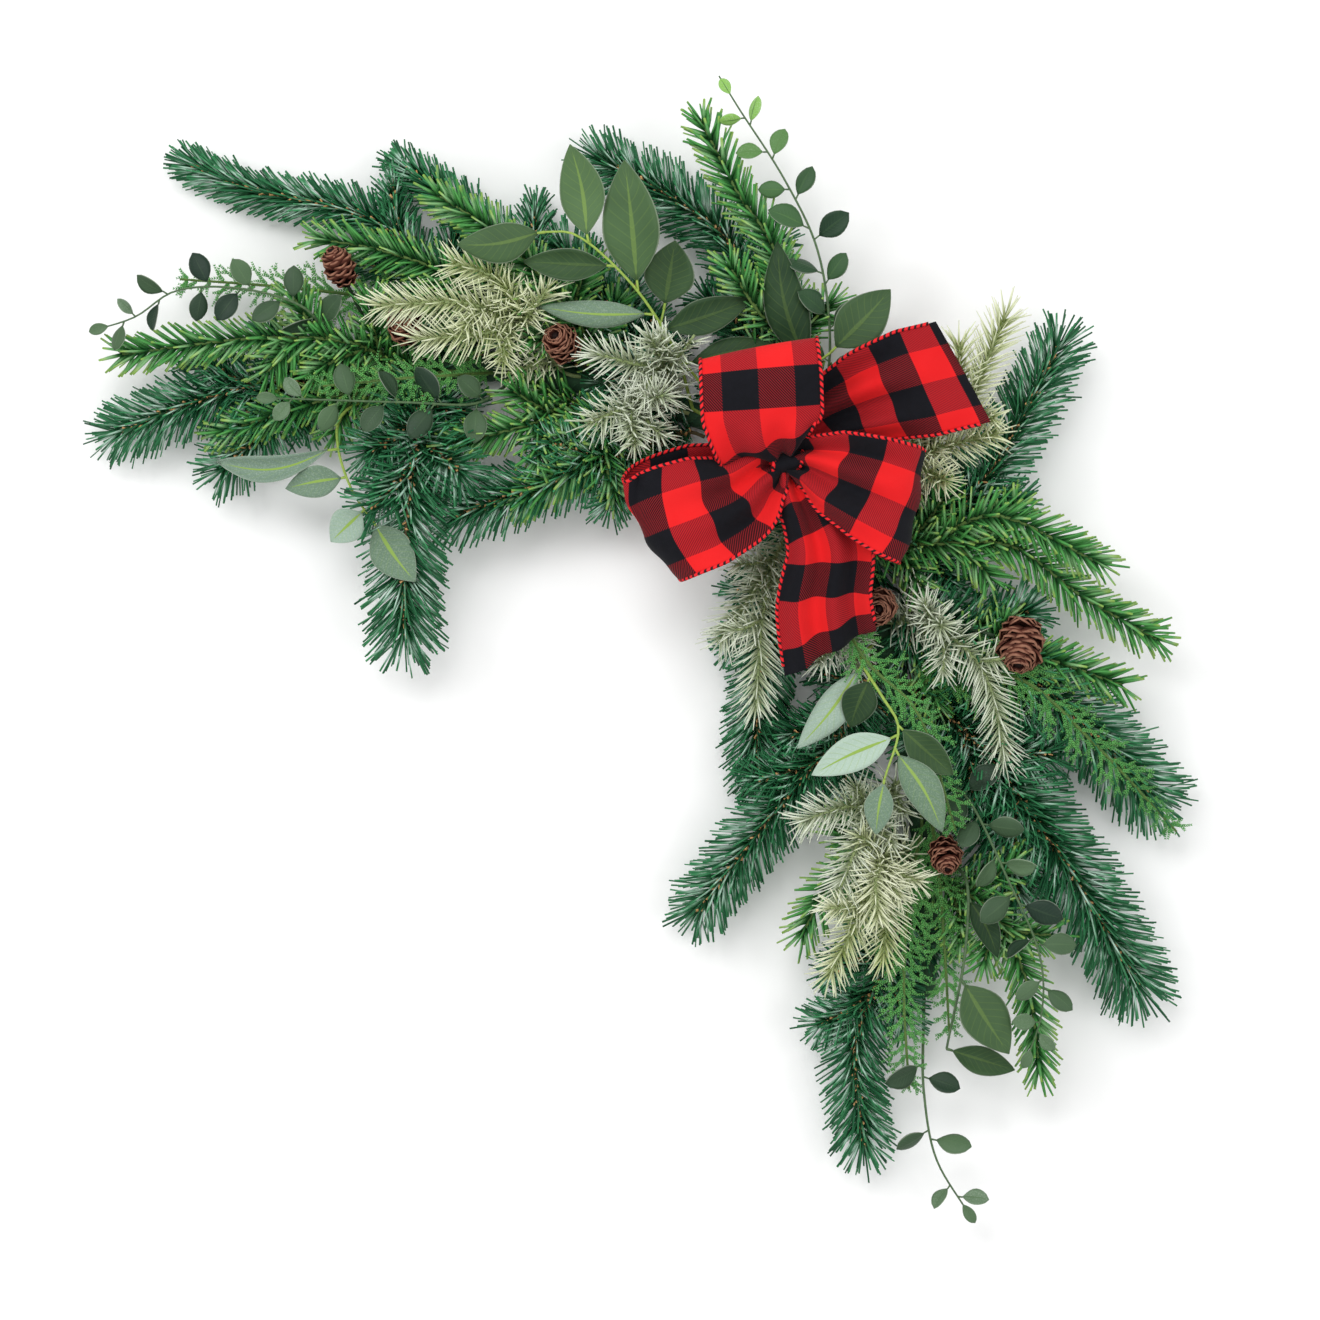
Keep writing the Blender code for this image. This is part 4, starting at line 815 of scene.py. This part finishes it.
def scale_shape():
    """A cedar scale: a flat four-sided spindle."""
    bm = bmesh.new()
    bmesh.ops.create_cone(bm, cap_ends=False, segments=4, radius1=0.5, radius2=0.0, depth=0.6)
    bmesh.ops.translate(bm, verts=bm.verts, vec=(0, 0, 0.7))
    rim = [v for v in bm.verts if v.co.z < 0.5]
    ring = [e for e in bm.edges if all(v in rim for v in e.verts)]
    drawn = bmesh.ops.extrude_edge_only(bm, edges=ring)
    fresh = [e for e in drawn["geom"] if isinstance(e, bmesh.types.BMVert)]
    bmesh.ops.translate(bm, verts=fresh, vec=(0, 0, -0.4))
    bmesh.ops.pointmerge(bm, verts=fresh, merge_co=(0, 0, 0))
    bmesh.ops.remove_doubles(bm, verts=bm.verts, dist=1e-4)
    mark(bm, lambda spot: (spot.z, spot.x * 2))
    return shape_of(bm)


def rod_shape(path, radii, sides, flat_below=None):
    """A round rod along a path, made as a grid that is rolled up, with its ends closed."""
    rows = len(path) + 1
    bm = bmesh.new()
    bmesh.ops.create_grid(bm, x_segments=sides, y_segments=rows, size=1)
    gone = [0.0]
    for near, far in zip(path, path[1:]):
        gone.append(gone[-1] + (far - near).length)
    frames = []
    toward = (path[1] - path[0]).normalized()
    across = toward.orthogonal().normalized()
    for index, middle in enumerate(path):
        ahead = (path[min(index + 1, len(path) - 1)] - path[max(index - 1, 0)]).normalized()
        across.rotate(toward.rotation_difference(ahead))
        toward = ahead
        frames.append((middle, across.copy(), toward.cross(across)))

    def index_of(row):
        return min(max(row - 1, 0), len(path) - 1)

    mark(bm, lambda spot: (gone[index_of(round((spot.y + 1) / 2 * rows))], math.cos(math.pi * (spot.x + 1))))
    for corner in bm.verts:
        row = round((corner.co.y + 1) / 2 * rows)
        angle = math.pi * (corner.co.x + 1)
        index = index_of(row)
        middle, one, other = frames[index]
        radius = radii[index] if 0 < row < rows else 0
        corner.co = middle + (one * math.cos(angle) + other * math.sin(angle)) * radius
        if flat_below is not None:
            corner.co.z = max(corner.co.z, flat_below)
    bmesh.ops.remove_doubles(bm, verts=bm.verts, dist=1e-6)
    return shape_of(bm)


FILM = [needle_shape(3, cuts, 0.9, bend) for cuts, bend in ((2, -4), (1, 1), (2, 5), (1, -2))]
MOULDED = [needle_shape(3, 2, 0.6, bend) for bend in (-1.0, 0.4, 1.4)]
FROST = [needle_shape(3, cuts, 0.3, bend) for cuts, bend in ((2, -0.7), (1, 0.0), (2, 0.8))]
SCALE = scale_shape()
LARGE_BENDS = [(-0.05, 0.08, -0.28), (0.06, 0.05, 0.08), (0.11, 0.03, 0.0), (0.04, -0.06, 0.12)]
LARGE = [blade_shape(14, 8, pointed_outline(0.42, 0.85), cup, arch, 0.012, sway)
         for cup, arch, sway in LARGE_BENDS]
CURLED = blade_shape(14, 8, pointed_outline(0.6, 0.8), 0.1, 0.04, 0.012, -1.0)
SMALL = [blade_shape(8, 6, pointed_outline(0.5, 0.6), cup, arch, 0.03)
         for cup, arch in ((0.08, 0.08), (-0.07, 0.05))]
CONE_SCALE = blade_shape(5, 4, pointed_outline(0.62, 0.45), 0.3, -0.16, 0.07)


class Piece:
    """One finished object, gathered from copies of small shapes, tubes and sheets."""

    def __init__(self, name, finishes):
        self.name = name
        self.finishes = finishes
        self.parts = []
        self.count = 0

    def add(self, points, triangles, tone, along, across, slot):
        """Points and triangles, with three measures for the finish."""
        size = len(points)
        measures = [np.broadcast_to(value, size) for value in (tone, along, across)]
        self.parts.append((points, triangles + self.count, *measures, np.full(len(triangles), slot)))
        self.count += size

    def scatter(self, shape, spots, slot=0):
        """A copy of a shape at each spot, which is its foot, its three sides and its tone."""
        if not spots:
            return
        feet = np.array([spot[0][:] for spot in spots])
        sides = np.array([[side[:] for side in spot[1:4]] for spot in spots])
        tones = np.array([spot[4] for spot in spots])
        points = feet[:, None, :] + np.einsum("pk,nkc->npc", shape.points, sides)
        each = len(shape.points)
        shift = np.arange(len(spots))[:, None, None] * each
        # Three sides of the other hand mirror the shape, so its triangles are turned back
        mirrored = np.linalg.det(sides[0]) < 0
        around = shape.triangles[:, ::-1] if mirrored else shape.triangles
        triangles = (around[None] + shift).reshape(-1, 3)
        self.add(points.reshape(-1, 3), triangles, np.repeat(tones, each),
                 np.tile(shape.along, len(spots)), np.tile(shape.across, len(spots)), slot)

    def shape(self, shape, tone, slot):
        """One shape, where it already stands."""
        self.add(shape.points, shape.triangles, tone, shape.along, shape.across, slot)

    def tube(self, path, radii, tone, slot):
        self.shape(rod_shape(path, radii, TUBE_SIDES), tone, slot)

    def stem(self, line, radius, taper, slot, pitch=STEM_STEP):
        """A tube along a line, from its radius at the root to a share of that at the tip."""
        count = max(round(line.length / pitch), 3)
        marks = line.spread(count)
        path = [line.at(mark) for mark in marks]
        self.tube(path, [radius * (1 - (1 - taper) * mark / line.length) for mark in marks], 0.5, slot)

    def finish(self, body, nodes, slot):
        """The object itself, riding on its body in place of its CAD nodes."""
        points, triangles, *measures, slots = map(np.concatenate, zip(*self.parts))
        mesh = bpy.data.meshes.new(self.name)
        mesh.from_pydata(points, [], triangles)
        mesh.polygons.foreach_set("material_index", slots.astype(np.int32))
        mesh.polygons.foreach_set("use_smooth", np.full(len(triangles), True))
        for name, values in zip(("tone", "along", "across"), measures):
            attribute = mesh.attributes.new(name, "FLOAT", "POINT")
            attribute.data.foreach_set("value", values.astype(np.float32))
        for material in self.finishes:
            mesh.materials.append(material)
        mesh.update()
        made = put(self.name, mesh)
        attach(made, body)
        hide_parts(*nodes)
        return made


# Sprays of needles

class Cover:
    """The bow, the large leaves and a cone, which needles stay under."""

    def __init__(self, pieces):
        corners = []
        faces = []
        for piece in pieces:
            first = len(corners)
            corners += [v.co.copy() for v in piece.data.vertices]
            faces += [[first + v for v in p.vertices] for p in piece.data.polygons if p.material_index == 0]
        self.tree = BVHTree.FromPolygons(corners, faces)

    def below(self, point):
        return self.tree.ray_cast(point, -UP)[0] is not None


def needle_spots(line, start, kind, draw):
    """Spots for needles round a stem in a spiral, flatter than it is wide and leaning ahead."""
    spots = []
    scale = 1 if line.length > kind["short"] * MM else kind["small"]
    count = int((line.length - start) / MM * kind["per"])
    turn = draw.uniform(0, math.tau)
    for number in range(count):
        mark = start + (line.length - start) * (number + draw.random()) / count
        share = (mark - start) / max(line.length - start, MM)
        ahead, level, lift = line.axes(mark)
        turn += GOLDEN
        flat = kind["flat"] + (1 - kind["flat"]) * abs(ahead.z)
        out = level * math.cos(turn) + lift * math.sin(turn) * flat
        out.normalize()
        near_tip = max(1 - (line.length - mark) / NEAR_TIP, 0)
        low_lean, high_lean = kind["lean"]
        lean = low_lean + (high_lean - low_lean) * share + TIP_LEAN * near_tip
        lean = math.radians(lean + draw.gauss(0, kind["stray"] + TIP_STRAY * near_tip))
        length = kind["needle"] * MM * scale * draw.uniform(*NEEDLE_LENGTHS) * (1 - TIP_SHORTER * near_tip)
        way = out * math.cos(lean) + ahead * math.sin(lean)
        foot = line.at(mark)
        low = min((FLOOR - foot.z) / length, NEEDLE_RISE)
        if way.z < low:
            along_floor = Vector((way.x, way.y, 0)) + Vector((ahead.x, ahead.y, 0)) * 0.2
            way = along_floor.normalized() * math.sqrt(1 - low * low) + UP * low
        wide = kind["wide"] * MM * draw.uniform(*NEEDLE_WIDTHS)
        side = way.cross(UP)
        if side.length < 0.3:
            side = way.cross(ahead)
        side.normalize()
        roll = draw.uniform(-NEEDLE_ROLL, NEEDLE_ROLL)
        side = side * math.cos(roll) + way.cross(side) * math.sin(roll)
        if any(cover.below(foot + way * length * part) for part in LOOKED_AT):
            continue
        spots.append((foot, side * wide, way.cross(side) * wide * kind["thin"], way * length, draw.random()))
    return spots


def put_needles(piece, shapes, spots):
    """The spots shared out among a few bent shapes."""
    for number, shape in enumerate(shapes):
        piece.scatter(shape, spots[number::len(shapes)])


def side_line(line, share, turn, length, rise):
    """A short twig that leaves a stem at a share of its length."""
    mark = line.length * share
    ahead, level, _ = line.axes(mark)
    way = (ahead * math.cos(turn) + level * math.sin(turn)).normalized()
    start = line.at(mark)
    end = start + way * length + UP * rise
    middle = start.lerp(end, 0.5) + ahead * length * TWIG_BEND
    for point in (middle, end):
        point.z = max(point.z, TWIG_LOWEST)
    return Line([start, middle, end])


def spray_lines(name, path, forks):
    """The line of a spray's first path, bound to the core, and the lines that fork from it."""
    lift = SETTLED.get(name, (0, 0))[1]
    twigs = [[path[number], *points] for number, *points in forks]
    return [bed.route(name, path, STEM),
            *[Line([place(x, y, z + lift) for x, y, z in twig]) for twig in twigs]]


def pine_spray(name, kind, path, *forks):
    draw = random.Random(name)
    piece = Piece(name + "_fine", [pine_film, pine_wire, tan_stub])
    lines = spray_lines(name, path, forks)
    main = lines[0]
    for share, turn, length in PINE_TWIGS:
        length = min(main.length * PINE_TWIG_SHARE, length * MM)
        lines.append(side_line(main, share, math.radians(turn), length, -TWIG_FALL))
    bares = [kind["bare"]] + [TWIG_BARE] * len(forks) + [PINE_TWIG_BARE] * len(PINE_TWIGS)
    for line, bare in zip(lines, bares):
        piece.stem(line, PINE_WIRE, 0.7, 1)
        spots = needle_spots(line, min(bare * MM, line.length * 0.4), kind, draw)
        put_needles(piece, FILM, spots)
        stubs = []
        for foot, side, face, way, _ in spots[::STUB_NEEDLES]:
            start = foot + UP * draw.uniform(1, 4) * MM
            length = way.normalized() * draw.uniform(*STUB_LENGTHS) * MM + UP * MM
            if not cover.below(start + length):
                stubs.append((start, side * 1.4, face * 2.5, length, draw.random()))
        piece.scatter(FILM[1], stubs, 2)
    return piece.finish("root", [name], "pine")


def spruce_spray(name, path, *forks):
    draw = random.Random(name)
    piece = Piece(name + "_fine", [spruce_plastic, spruce_twig])
    lines = spray_lines(name, path, forks)
    for share, turn, length in SPRUCE_TWIGS:
        lines.append(side_line(lines[0], share, math.radians(turn), length * MM, -TWIG_FALL))
    bares = [SPRUCE["bare"]] + [TWIG_BARE] * (len(lines) - 1)
    for line, bare in zip(lines, bares):
        piece.stem(line, SPRUCE_TWIG, 0.6, 1)
        put_needles(piece, MOULDED, needle_spots(line, min(bare * MM, line.length * 0.4), SPRUCE, draw))
    return piece.finish("root", [name], "spruce")


def frosted_pick(name, path, *forks):
    draw = random.Random(name)
    frosting = frosted_cream if name in CREAMY else frosted_white
    piece = Piece(name + "_fine", [frosting, frosted_twig])
    lines = spray_lines(name, path, forks)
    starts = [min(FROSTED["bare"] * MM, lines[0].length * 0.45)]
    starts += [min(TWIG_BARE * MM, line.length * 0.3) for line in lines[1:]]
    twigs = []
    for line, start in zip(lines, starts):
        room = line.length - start
        count = max(int(room / FROSTED_PITCH), 1)
        for number in range(count):
            share = (start + room * (0.05 + 0.7 * number / count)) / line.length
            side = 1 if number % 2 else -1
            turn = side * math.radians(draw.uniform(*FROSTED_TURNS))
            length = draw.uniform(*FROSTED_LENGTHS) * MM
            twigs.append(side_line(line, share, turn, length, draw.uniform(*FROSTED_RISES) * MM))
    for line, start in [*zip(lines, starts), *[(twig, 2 * MM) for twig in twigs]]:
        piece.stem(line, FROSTED_TWIG, 0.6, 1)
        put_needles(piece, FROST, needle_spots(line, start, FROSTED, draw))
    return piece.finish("root", [name], "frosted")


# Cedar

def cedar_twig(line, start, width, draw, spots):
    """Pairs of scales pressed along a twig."""
    count = max(int((line.length - start) / SCALE_PITCH), 2)
    for number in range(count):
        mark = start + (line.length - start) * number / count
        share = number / count
        ahead, level, lift = line.axes(mark)
        size = width * (1 - 0.45 * share) * draw.uniform(0.9, 1.1)
        for side in (-1, 1):
            way = (ahead * 0.85 + level * side * 0.55 + lift * draw.uniform(-0.1, 0.3)).normalized()
            across = way.cross(lift).normalized()
            spots.append((line.at(mark) - way * 0.3 * MM, across * size, lift * size * 0.55, way * size * 2.1,
                          draw.random()))


def cedar_spray(name, *path):
    draw = random.Random(name)
    piece = Piece(name + "_fine", [cedar_plastic, spruce_twig])
    main = bed.route(name, path, STEM)
    piece.stem(main, 1.2 * MM, 0.5, 1)
    spots = []
    bare = min(0.1 * main.length, 14 * MM)
    stem_scale, limb_scale, twig_scale = SCALE_WIDTHS
    cedar_twig(main, bare, stem_scale, draw, spots)
    ranks = int((main.length - bare) / LIMB_PITCH)
    for number in range(ranks):
        share = (bare + (main.length - bare) * (number + 0.3) / ranks) / main.length
        for side in (-1, 1):
            fall = 1 - 0.62 * (number / ranks) ** 1.3
            length = LIMB * fall * draw.uniform(0.6, 1.1)
            turn = side * math.radians(draw.uniform(*LIMB_TURNS))
            limb = side_line(main, min(share + draw.uniform(0, 0.02), 0.97), turn, length,
                             draw.uniform(-4, 6) * MM)
            cedar_twig(limb, MM, limb_scale, draw, spots)
            for twig in range(max(int(length / TWIG_PITCH), 1)):
                part = (twig + 0.7) / (length / TWIG_PITCH + 0.6)
                flip = 1 if twig % 2 else -1
                small = side_line(limb, min(part, 0.9), flip * math.radians(draw.uniform(*TWIG_TURNS)),
                                  (3 * MM + length * 0.32 * (1.1 - part)) * draw.uniform(0.7, 1.2),
                                  draw.uniform(-1, 2) * MM)
                cedar_twig(small, 0.5 * MM, twig_scale, draw, spots)
    piece.scatter(SCALE, spots)
    return piece.finish("root", [name], "cedar")


# Leaves

def leaf_spot(base, tip, width, tone, roll=0.0):
    """A leaf's spot from its base and tip, its face turned up and rolled a little."""
    way = tip - base
    side = way.cross(UP).normalized()
    face = side.cross(way.normalized())
    side, face = side * math.cos(roll) + face * math.sin(roll), face * math.cos(roll) - side * math.sin(roll)
    return (base, side * width / 2, face * way.length, way, tone)


def leafy_sprig(name, points, leaves):
    draw = random.Random(name)
    twig = small_twig if name == DARK_TWIGGED else leaf_twig
    piece = Piece(name + "_fine", [large_leaf, twig])
    line = bed.route(name, points, STALK)
    piece.stem(line, STALK, 0.6, 1)
    leaves = sorted(leaves)
    for number, (share, x, y, rise, width, pale) in enumerate(leaves):
        share = share if number < len(leaves) - 1 else 1
        joint = line.at(line.length * share)
        tip = place(x, y, joint.z / MM + rise)
        foot = joint.lerp(tip, 0.09)
        stalk = [joint, joint.lerp(foot, 0.5) - UP * 0.4 * MM, foot]
        piece.tube(stalk, [0.9 * MM, 0.8 * MM, 0.7 * MM], 0.6, 1)
        spot = leaf_spot(foot, tip, width * MM, pale, draw.uniform(-0.25, 0.25))
        shape = CURLED if (name, number) == CURLED_LEAF else LARGE[number % len(LARGE)]
        piece.scatter(shape, [spot])
    return piece.finish("root", [name], "leaf")


def eucalyptus_sprig(name, *points):
    draw = random.Random(100 + int(name[-1]))
    has_young_tip = name == YOUNG_TIPPED
    piece = Piece(name + "_fine", [young_leaf if has_young_tip else small_leaf, small_twig])
    line = bed.route(name, points, STALK)
    piece.stem(line, STALK * 0.85, 0.5, 1)
    bare = min(EUCALYPTUS_BARE / line.length, 0.5)
    pairs = max(round(line.length * (1 - bare) / PAIR_PITCH), 3)
    joints = [line.length * (bare + (0.88 - bare) * pair / (pairs - 1)) for pair in range(pairs)]
    shapes = [[], []]
    end = line.at(line.length * 0.93) + line.toward(line.length * 0.93) * 22 * MM * 0.7
    young = 0.8 if has_young_tip else 0.2
    shapes[0].append(leaf_spot(line.at(line.length * 0.95), end, 6.5 * MM, 0.1 + young))
    for index, joint in enumerate(joints):
        ahead = line.toward(joint)
        level = UP.cross(ahead).normalized()
        for side in (-1, 1):
            size = EUCALYPTUS_LEAF * draw.uniform(*EUCALYPTUS_LENGTHS)
            size *= 1 - 0.4 * max(joint / line.length - 0.55, 0) / 0.45
            way = ahead * draw.uniform(0.2, 1.0) + level * side + UP * draw.uniform(-0.2, 0.4)
            way.normalize()
            base = line.at(joint + side * draw.uniform(1, 4) * MM)
            tip = base + way * size
            tip.z = max(tip.z, FLOOR + MM)
            foot = base.lerp(tip, 0.16)
            piece.tube([base, foot], [0.55 * MM, 0.45 * MM], 0.5, 1)
            tone = draw.uniform(0.0, 0.3) + young * max(joint / line.length - 0.75, 0) / 0.15
            roll = draw.uniform(-EUCALYPTUS_ROLL, EUCALYPTUS_ROLL)
            shapes[index % 2].append(leaf_spot(foot, tip, size * EUCALYPTUS_WIDTH, tone, roll))
    for shape, spots in zip(SMALL, shapes):
        piece.scatter(shape, spots)
    return piece.finish("root", [name], "eucalyptus")


# Cones

def cone(name, points, length, width, turned=None):
    draw = random.Random(name)
    piece = Piece(name + "_fine", [cone_wood, cone_twig])
    line = bed.route(name, points, STALK)
    piece.stem(line, STALK, 1, 1)
    axis = line.toward(line.length - 2 * MM)
    foot = line.at(line.length)
    length *= MM
    width *= MM
    if turned:
        middle = foot + axis * length / 2
        axis = Vector(turned).normalized()
        foot = middle - axis * length / 2
    side = axis.orthogonal().normalized()
    other = axis.cross(side)
    piece.tube([foot, foot + axis * length * 0.5, foot + axis * length * 0.95],
               [width * 0.16, width * 0.2, width * 0.08], 0.1, 0)
    spots = []
    count = int(USUAL_SCALES * width / USUAL_CONE)
    for number in range(count):
        share = (number + 0.5) / count
        turn = GOLDEN * number
        out = side * math.cos(turn) + other * math.sin(turn)
        open_out = math.sin(math.pi * (0.14 + 0.76 * share)) ** 0.7
        lean = math.radians(6 + 64 * share + draw.gauss(0, 5))
        way = out * math.cos(lean) + axis * math.sin(lean)
        size = width * 0.5 * open_out * draw.uniform(0.86, 1.06)
        across = way.cross(axis).normalized()
        root = foot + axis * length * (0.02 + 0.8 * share) + out * width * 0.06
        spots.append((root, across * size * 0.5, across.cross(way) * size, way * size, draw.random()))
    piece.scatter(CONE_SCALE, spots)
    return piece.finish("root", [name], "cone")


# The bow, its knot, the core and the wire

# The ribbon: its folds, its thickness, the radius of its cords, the step of its rows and how many columns
# they have, how far its edges curl, and how high a fold is before it shows in full
FOLDS = 5
SHEET_THICK = 0.45 * MM
CORD = MM
ROW_STEP = 2.6 * MM
COLUMNS = 28
CURL = 1.2 * MM
FULL_FOLD = 3 * MM

# The knot, as a sixth strip that passes over the gathered middle
KNOT = [(-0.6, -0.8, 62, 13, 12), (-0.6, -0.6, 71, 14, 12), (-0.4, 0.4, 78, 15, 12), (-0.2, 1.5, 73, 14, 12),
        (-0.2, 1.7, 62, 13, 12)]

# A strip's looks: which edge has the narrow red band, how far before its far place a red band lies, the
# number of that place, how deep its folds are, how far its far end bulges and is drawn askew, how far
# its bands are moved across, in mm, and how much its bands are stretched along it
Looks = namedtuple("Looks", "flip red_back far fold bulge askew column stretch", defaults=(0, 0, 0, 1))
STRIP_LOOKS = [
    Looks(1, 3.8, 4, 2.6, stretch=1.13),
    Looks(1, 21.3, 5, 3.6, bulge=4),
    Looks(-1, 27.4, 5, 3.6, bulge=9),
    Looks(-1, 14.8, 4, 3.6, askew=-7.5),
    Looks(-1, 22.4, 4, 3.6, askew=9),
    Looks(0.1, 19.5, 2, 0.6, column=-11.3),
]


def strip_frame(places, middle, distance):
    """Where a strip is at a distance along it: its middle, across, out of its face, and width."""
    marks = middle.marks[::Line.FINE]
    index = min(bisect.bisect_right(marks, distance), len(marks) - 1)
    low, high = marks[index - 1], marks[index]
    share = min((distance - low) / (high - low), 1)
    near, far = places[index - 1], places[index]
    bearing = math.radians(near[4] + (far[4] - near[4]) * share)
    if index == 1:
        share = 1 - (1 - share) ** 2
    if index == len(marks) - 1:
        share = share ** 2
    width = (near[3] + (far[3] - near[3]) * share) * MM
    toward = middle.toward(min(max(distance, 2 * MM), middle.length - 2 * MM))
    across = Vector((math.cos(bearing), math.sin(bearing), 0))
    across = (across - toward * across.dot(toward)).normalized()
    return middle.at(distance), across, toward.cross(across), width


def strip_point(frame_here, side, shift, fold):
    """A point of a strip: where it is narrower than its cloth, the rest of the width stands in folds."""
    centre, across, out, width = frame_here
    spare = min(max(RIBBON * RIBBON - width * width, 0) ** 0.5 / (2 * FOLDS), fold * MM)
    fade = min(spare / FULL_FOLD, 1)
    rise = spare * fade * math.sin(side * math.pi / 2 * FOLDS)
    curl = CURL * (side * side - 0.4)
    return centre + across * (width / 2 * side) + out * (rise + curl) + shift


def ribbon_strip(piece, cords, places, looks):
    """One strip of cloth, with a whipped cord along each edge."""
    middle = Line([place(x, y, z) for x, y, z, _, _ in places])
    far = middle.marks[looks.far * Line.FINE]
    rows = round(middle.length / ROW_STEP)
    frames = [strip_frame(places, middle, distance) for distance in middle.spread(rows)]
    root = frames[0][0]
    away = (middle.at(far) - root) * Vector((1, 1, 0))

    def shift(row, side):
        """How far the loop's round end and the tail's slant move a point."""
        reach = min((frames[row][0] - root).length / away.length, 1)
        out = looks.bulge * (1 - side * side) - looks.askew * side
        return away.normalized() * out * reach * reach * MM

    bm = bmesh.new()
    bmesh.ops.create_grid(bm, x_segments=COLUMNS, y_segments=rows, size=1)
    first = far - looks.red_back * MM

    def measure(spot):
        along = ((spot.y + 1) / 2 * middle.length - first) / looks.stretch
        return along, (spot.x * looks.flip + 1) / 2 * RIBBON + looks.column * MM

    mark(bm, measure)
    for corner in bm.verts:
        row = round((corner.co.y + 1) / 2 * rows)
        side = corner.co.x
        corner.co = strip_point(frames[row], side, shift(row, side), looks.fold)
    bm.normal_update()
    bmesh.ops.solidify(bm, geom=bm.faces[:], thickness=SHEET_THICK)
    piece.shape(shape_of(bm), 0.5, 0)
    for side in (-1, 1):
        path = [strip_point(frames[row], side, shift(row, side), looks.fold) for row in range(2, rows - 1)]
        cords.tube(path, [CORD] * len(path), 0.5, 0)
    return middle.length


def bow():
    piece = Piece("bow_cloth", [cloth])
    cords = Piece("bow_whipped_edges", [cord_finish])
    total = 0
    for places, looks in zip([*BOW_STRIPS, KNOT], STRIP_LOOKS):
        total += ribbon_strip(piece, cords, places, looks)
    made = piece.finish("root", ["bow_ribbon"], "ribbon")
    uv = made.data.uv_layers.new(name="cloth")
    _, triangles, _, along, across, _ = map(np.concatenate, zip(*piece.parts))
    marks = np.stack([across, along], axis=1)
    uv.data.foreach_set("uv", marks[triangles.ravel()].astype(np.float32).ravel())
    edges = cords.finish("root", ["bow_ribbon"], "ribbon")
    return made


def core():
    """The bound bundle: a rod with a flat back and a ridge at each turn of its tape."""
    piece = Piece("core_taped", [core_tape])
    line = bed.line
    path = []
    radii = []
    for distance in line.spread(round(line.length / CORE_STEP)):
        turn = (distance / TAPE_TURN) % 1
        path.append(line.at(distance) + UP * CORE_AXIS)
        radii.append(CORE_RADIUS + TAPE_RIDGE * turn + TAPE_RIDGE * noise(Vector((distance * 40, 0, 0))))
    piece.shape(rod_shape(path, radii, CORE_SIDES, 0.0), 0.5, 0)
    piece.finish("root", ["core_bundle"], "core")


def bow_wire():
    """A staple over the core, with a post up to the bow's gathered middle."""
    x, y, height = BOW_MIDDLE
    line = bed.line
    foot = line.nearest(place(x, y, 0), 200)
    middle = line.at(foot)
    side = UP.cross(line.toward(foot)).normalized()
    out = CORE_HALF + STAPLE_SIDE_GAP + STALK
    top = CORE_HIGH + STAPLE_TOP_GAP + STALK
    corners = [(-1, STAPLE_FOOT), (-1, top * 0.7), (-0.7, top), (0, top + 0.4 * MM), (0.7, top),
               (1, top * 0.7), (1, STAPLE_FOOT)]
    staple = Line([middle + side * out * share + UP * rise for share, rise in corners])
    post = Line([middle + UP * top, middle.lerp(place(x, y, 0), 0.5) + UP * (top + height * MM) / 2,
                 place(x, y, height - 6)])
    piece = Piece("bow_wire_fine", [coated_wire])
    piece.stem(staple, STALK, 1, 0, pitch=2 * MM)
    piece.stem(post, STALK * 0.8, 1, 0)
    piece.finish("root", ["bow_tie_wire"], "wire")


def studio():
    """A white table, soft light from all round, and the camera straight above."""
    bm = bmesh.new()
    bmesh.ops.create_grid(bm, x_segments=2, y_segments=2, size=4)
    bmesh.ops.translate(bm, verts=bm.verts, vec=(0, 0, -0.3 * MM))
    mesh = bpy.data.meshes.new("table")
    bm.to_mesh(mesh)
    bm.free()
    finish = Finish("table_top", {"Specular IOR Level": 0.2})
    grain = finish.speckle(14, 2.0)
    finish.colour(finish.mix(grain, (0.93, 0.93, 0.93, 1), (0.95, 0.95, 0.95, 1)))
    finish.rough(0.7 + grain * 0.1)
    mesh.materials.append(finish.material)
    table = put("table", mesh)

    world = bpy.data.worlds.new("studio")
    world.use_nodes = True
    background = world.node_tree.nodes["Background"]
    background.inputs["Color"].default_value = (1, 1, 1, 1)
    background.inputs["Strength"].default_value = ROOM_LIGHT
    bpy.context.scene.world = world
    for name, spot, size, power in LAMPS:
        light = bpy.data.lights.new(name, "AREA")
        light.shape = "DISK"
        light.size = size
        light.energy = power
        lamp = put(name, light)
        lamp.location = spot
        lamp.rotation_euler = (SWAG_MIDDLE - lamp.location).to_track_quat("-Z", "Y").to_euler()

    camera = bpy.data.cameras.new("camera")
    wide = PHOTO * PHOTO_STEP
    camera.sensor_width = 36
    camera.lens = camera.sensor_width * (CAMERA_HEIGHT - CAMERA_PLANE) / wide
    stand = put("camera", camera)
    middle = PHOTO / 2
    stand.location = ((middle - CORNER_PIXEL[0]) * PHOTO_STEP, (CORNER_PIXEL[1] - middle) * PHOTO_STEP,
                      CAMERA_HEIGHT)
    bpy.context.scene.camera = stand
    bpy.context.scene.view_settings.view_transform = "Standard"


def make_all(kind, make, table):
    """Every piece of a kind, named by its number in its table."""
    return [make(f"{kind}_{number}", *entry) for number, entry in enumerate(table, 1)]


studio()
core()
bow_wire()
over = [bow(), *make_all("leaf_sprig", leafy_sprig, LEAF_SPRIGS)]
cones = make_all("cone", cone, CONES)
cover = Cover([*over, cones[0]])
make_all("pine_spray", pine_spray, PINE_SPRAYS)
make_all("spruce_spray", spruce_spray, SPRUCE_SPRAYS)
make_all("frosted_pick", frosted_pick, FROSTED_PICKS)
make_all("cedar_spray", cedar_spray, CEDAR_SPRAYS)
make_all("eucalyptus_sprig", eucalyptus_sprig, EUCALYPTUS_SPRIGS)
